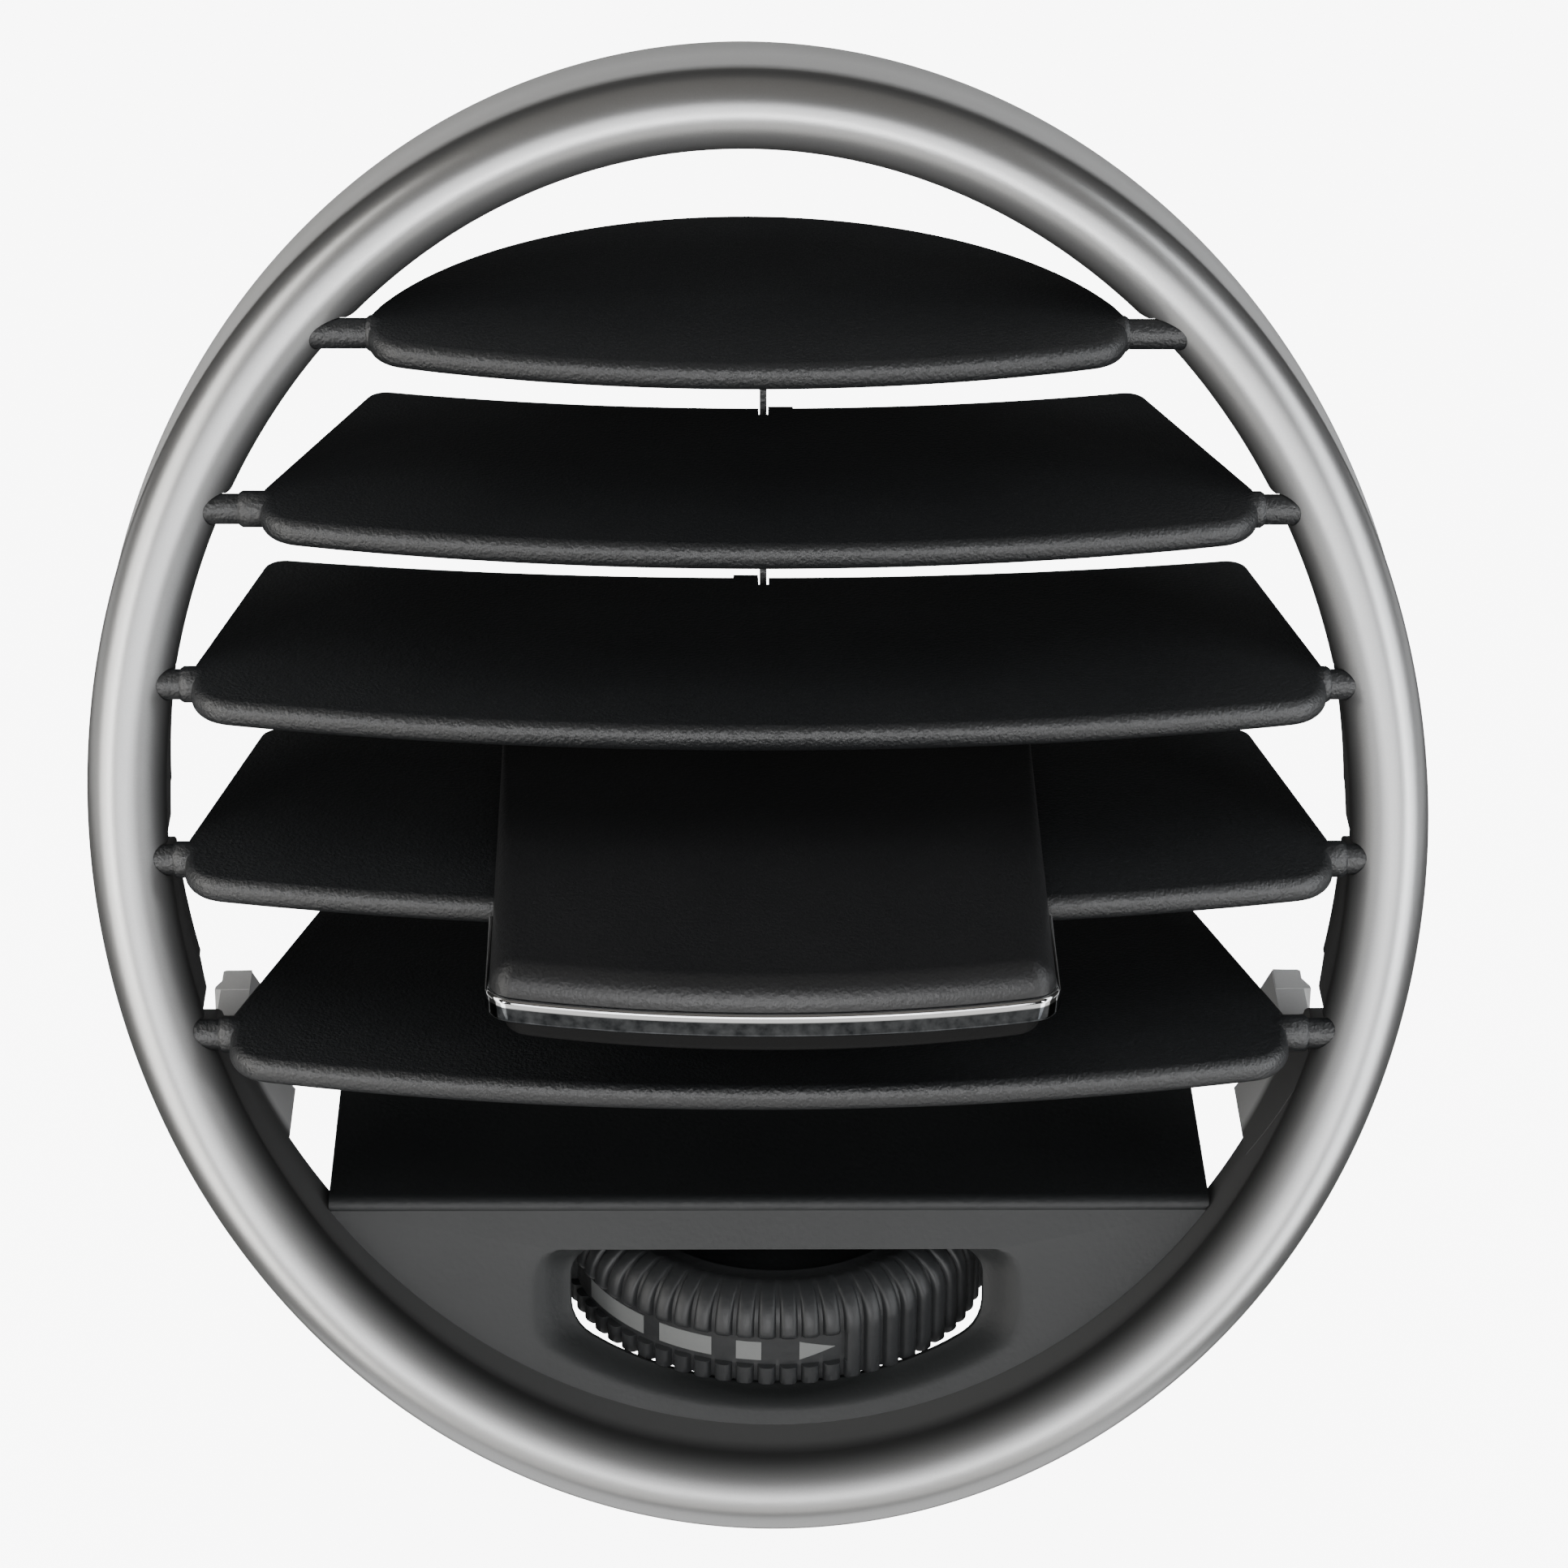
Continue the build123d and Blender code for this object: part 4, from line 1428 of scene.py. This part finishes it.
    def build(self, palette: Palette) -> None:
        """Make and dress the wheel and its marks.

        Args:
            palette: The finishes.
        """
        maker, marks = MeshMaker(), MeshMaker()
        maker.skin([self.section(93 + (k + share) * 360 / self.ribs, height)
                    for k in range(self.ribs) for share, height in self.rib_shape()], looped=True)
        for span in self.marks:
            self.add_mark(marks, span, self.mark_tall)
        self.add_mark(marks, self.arrow, 0.0)
        wheel, inlay = maker.build("wheel_ribbed", 42), marks.build("wheel_inlay", 40)
        for piece, slot, node in ((wheel, "wheel_black", "thumbwheel"), (inlay, "mark_grey", "wheel_marks")):
            palette.dress(piece, slot)
            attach(piece, Part.WHEEL.value)
            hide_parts(node)


@dataclass(frozen=True)
class Softbox:
    """An area light that looks at a point; an unseen one gives no reflection."""

    name: str
    place: Point3
    aim: Point3
    size: Point2
    power: float
    tint: Colour
    seen: bool = True

    def add(self) -> None:
        """Add the light to the scene."""
        lamp = bpy.data.lights.new(self.name, "AREA")
        lamp.shape, lamp.size, lamp.size_y = "RECTANGLE", self.size[0], self.size[1]
        lamp.energy, lamp.color = self.power, self.tint
        box = bpy.data.objects.new(self.name, lamp)
        bpy.context.scene.collection.objects.link(box)
        box.location = self.place
        box.rotation_euler = (Vector(self.aim) - Vector(self.place)).to_track_quat("-Z", "Y").to_euler()
        box.visible_glossy = self.seen


MIDDLE = (0, 0, 0)
WHITE = (1.0, 1.0, 1.0)
WARM = (1.0, 0.99, 0.97)
COOL = (0.98, 0.99, 1.0)
CREAM = (1.0, 0.98, 0.94)
SKY = (0.96, 0.98, 1.0)
LAMPS = (
    Softbox("overhead", (0.0, 0.3, 2.2), (0, 0.3, 0), (4.0, 4.0), 60.0, WHITE, False),
    Softbox("ceiling", (0.0, 0.0, 1.5), MIDDLE, (2.0, 2.0), 1.6, (1.0, 0.93, 0.85)),
    Softbox("wall", (0.0, -1.2, 0.34), MIDDLE, (1.4, 0.95), 12.0, (0.99, 0.99, 1.0)),
    Softbox("table", (0.0, -0.19, -0.058), (0, -0.19, 1), (0.5, 0.30), 0.45, (1.0, 0.98, 0.95)),
    Softbox("card_left", (-0.183, -0.051, 0.027), (-0.165, 0.834, -0.439), (0.18, 0.3), 0.62, CREAM),
    Softbox("card_right", (0.183, -0.051, 0.027), (0.202, 0.834, -0.439), (0.18, 0.3), 0.62, SKY),
    Softbox("strip_left", (-0.89, -0.71, 0.374), MIDDLE, (0.12, 0.6), 2.3, WARM),
    Softbox("strip_right", (0.95, -0.66, 0.35), MIDDLE, (0.12, 0.6), 2.0, COOL),
    Softbox("strip_low", (0.0, -1.15, 0.10), MIDDLE, (0.7, 0.11), 2.8, WHITE),
    Softbox("under", (0.0, -0.05, -0.45), MIDDLE, (0.7, 0.5), 1.0, WHITE),
    Softbox("back_left", (-0.45, 0.19, -0.04), MIDDLE, (0.4, 0.12), 0.09, WARM),
    Softbox("back_right", (0.45, 0.19, -0.04), MIDDLE, (0.4, 0.12), 0.09, COOL),
)


def studio() -> None:
    """Add the floor, the lights and the camera."""
    floor = MeshMaker()
    far = 9000
    floor.box((-far, -far, -2), (far, far, -1))
    ground = floor.build("floor", 32)
    ground.location.z = CAD_BOX[0].z - 0.012
    f = Finish("floor_white")
    f.set(Base_Color=f.mix(f.noise(3.0, 2.0), (0.47, 0.47, 0.47), (0.49, 0.49, 0.49)), Roughness=0.8)
    f.set(Specular_IOR_Level=0.1, Emission_Color=(1.0, 1.0, 1.0, 1.0), Emission_Strength=8.0)
    ground.data.materials.append(f.material)
    ground.visible_glossy = False
    ground.visible_diffuse = False
    ground.visible_shadow = False
    ground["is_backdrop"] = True
    world = bpy.data.worlds.new("studio")
    bpy.context.scene.world = world
    world.use_nodes = True
    air = world.node_tree.nodes["Background"]
    air.inputs["Color"].default_value = (0.95, 0.93, 0.90, 1.0)
    air.inputs["Strength"].default_value = 0.03
    for lamp in LAMPS:
        lamp.add()
    eye = bpy.data.cameras.new("camera")
    camera = bpy.data.objects.new("camera", eye)
    bpy.context.scene.collection.objects.link(camera)
    right = Vector((0.99983, -0.016528, 0.008331))
    up = Vector((0.000327, 0.465809, 0.884885))
    look = Vector((0.018506, 0.884731, -0.465735))
    camera.matrix_world = Matrix((
        (right.x, up.x, -look.x, -0.00559), (right.y, up.y, -look.y, -0.354785),
        (right.z, up.z, -look.z, 0.188258), (0, 0, 0, 1)))
    eye.lens, eye.sensor_width = 123.33, 36.0
    eye.clip_start, eye.clip_end = 0.01, 50.0
    bpy.context.scene.camera = camera


def main() -> None:
    """Build the vent, then the studio."""
    logging.basicConfig(level=logging.INFO, format="%(message)s")
    palette = Palette()
    slots = {s["node"]: s["material_slot"] for s in frame["record"]["subparts"]}
    for name, node in frame["nodes"].items():
        palette.dress(node, slots[name])
        shade(node, 30)
    stack = VaneStack()
    Bezel().build(palette, stack)
    stack.build(palette)
    Knob().build(palette, *stack.pivots()[3])
    Panel().build(palette)
    Thumbwheel().build(palette)
    studio()
    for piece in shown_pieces():
        LOG.info("%s: %d faces", piece.name, len(piece.data.polygons))


if __name__ == "__main__":
    main()
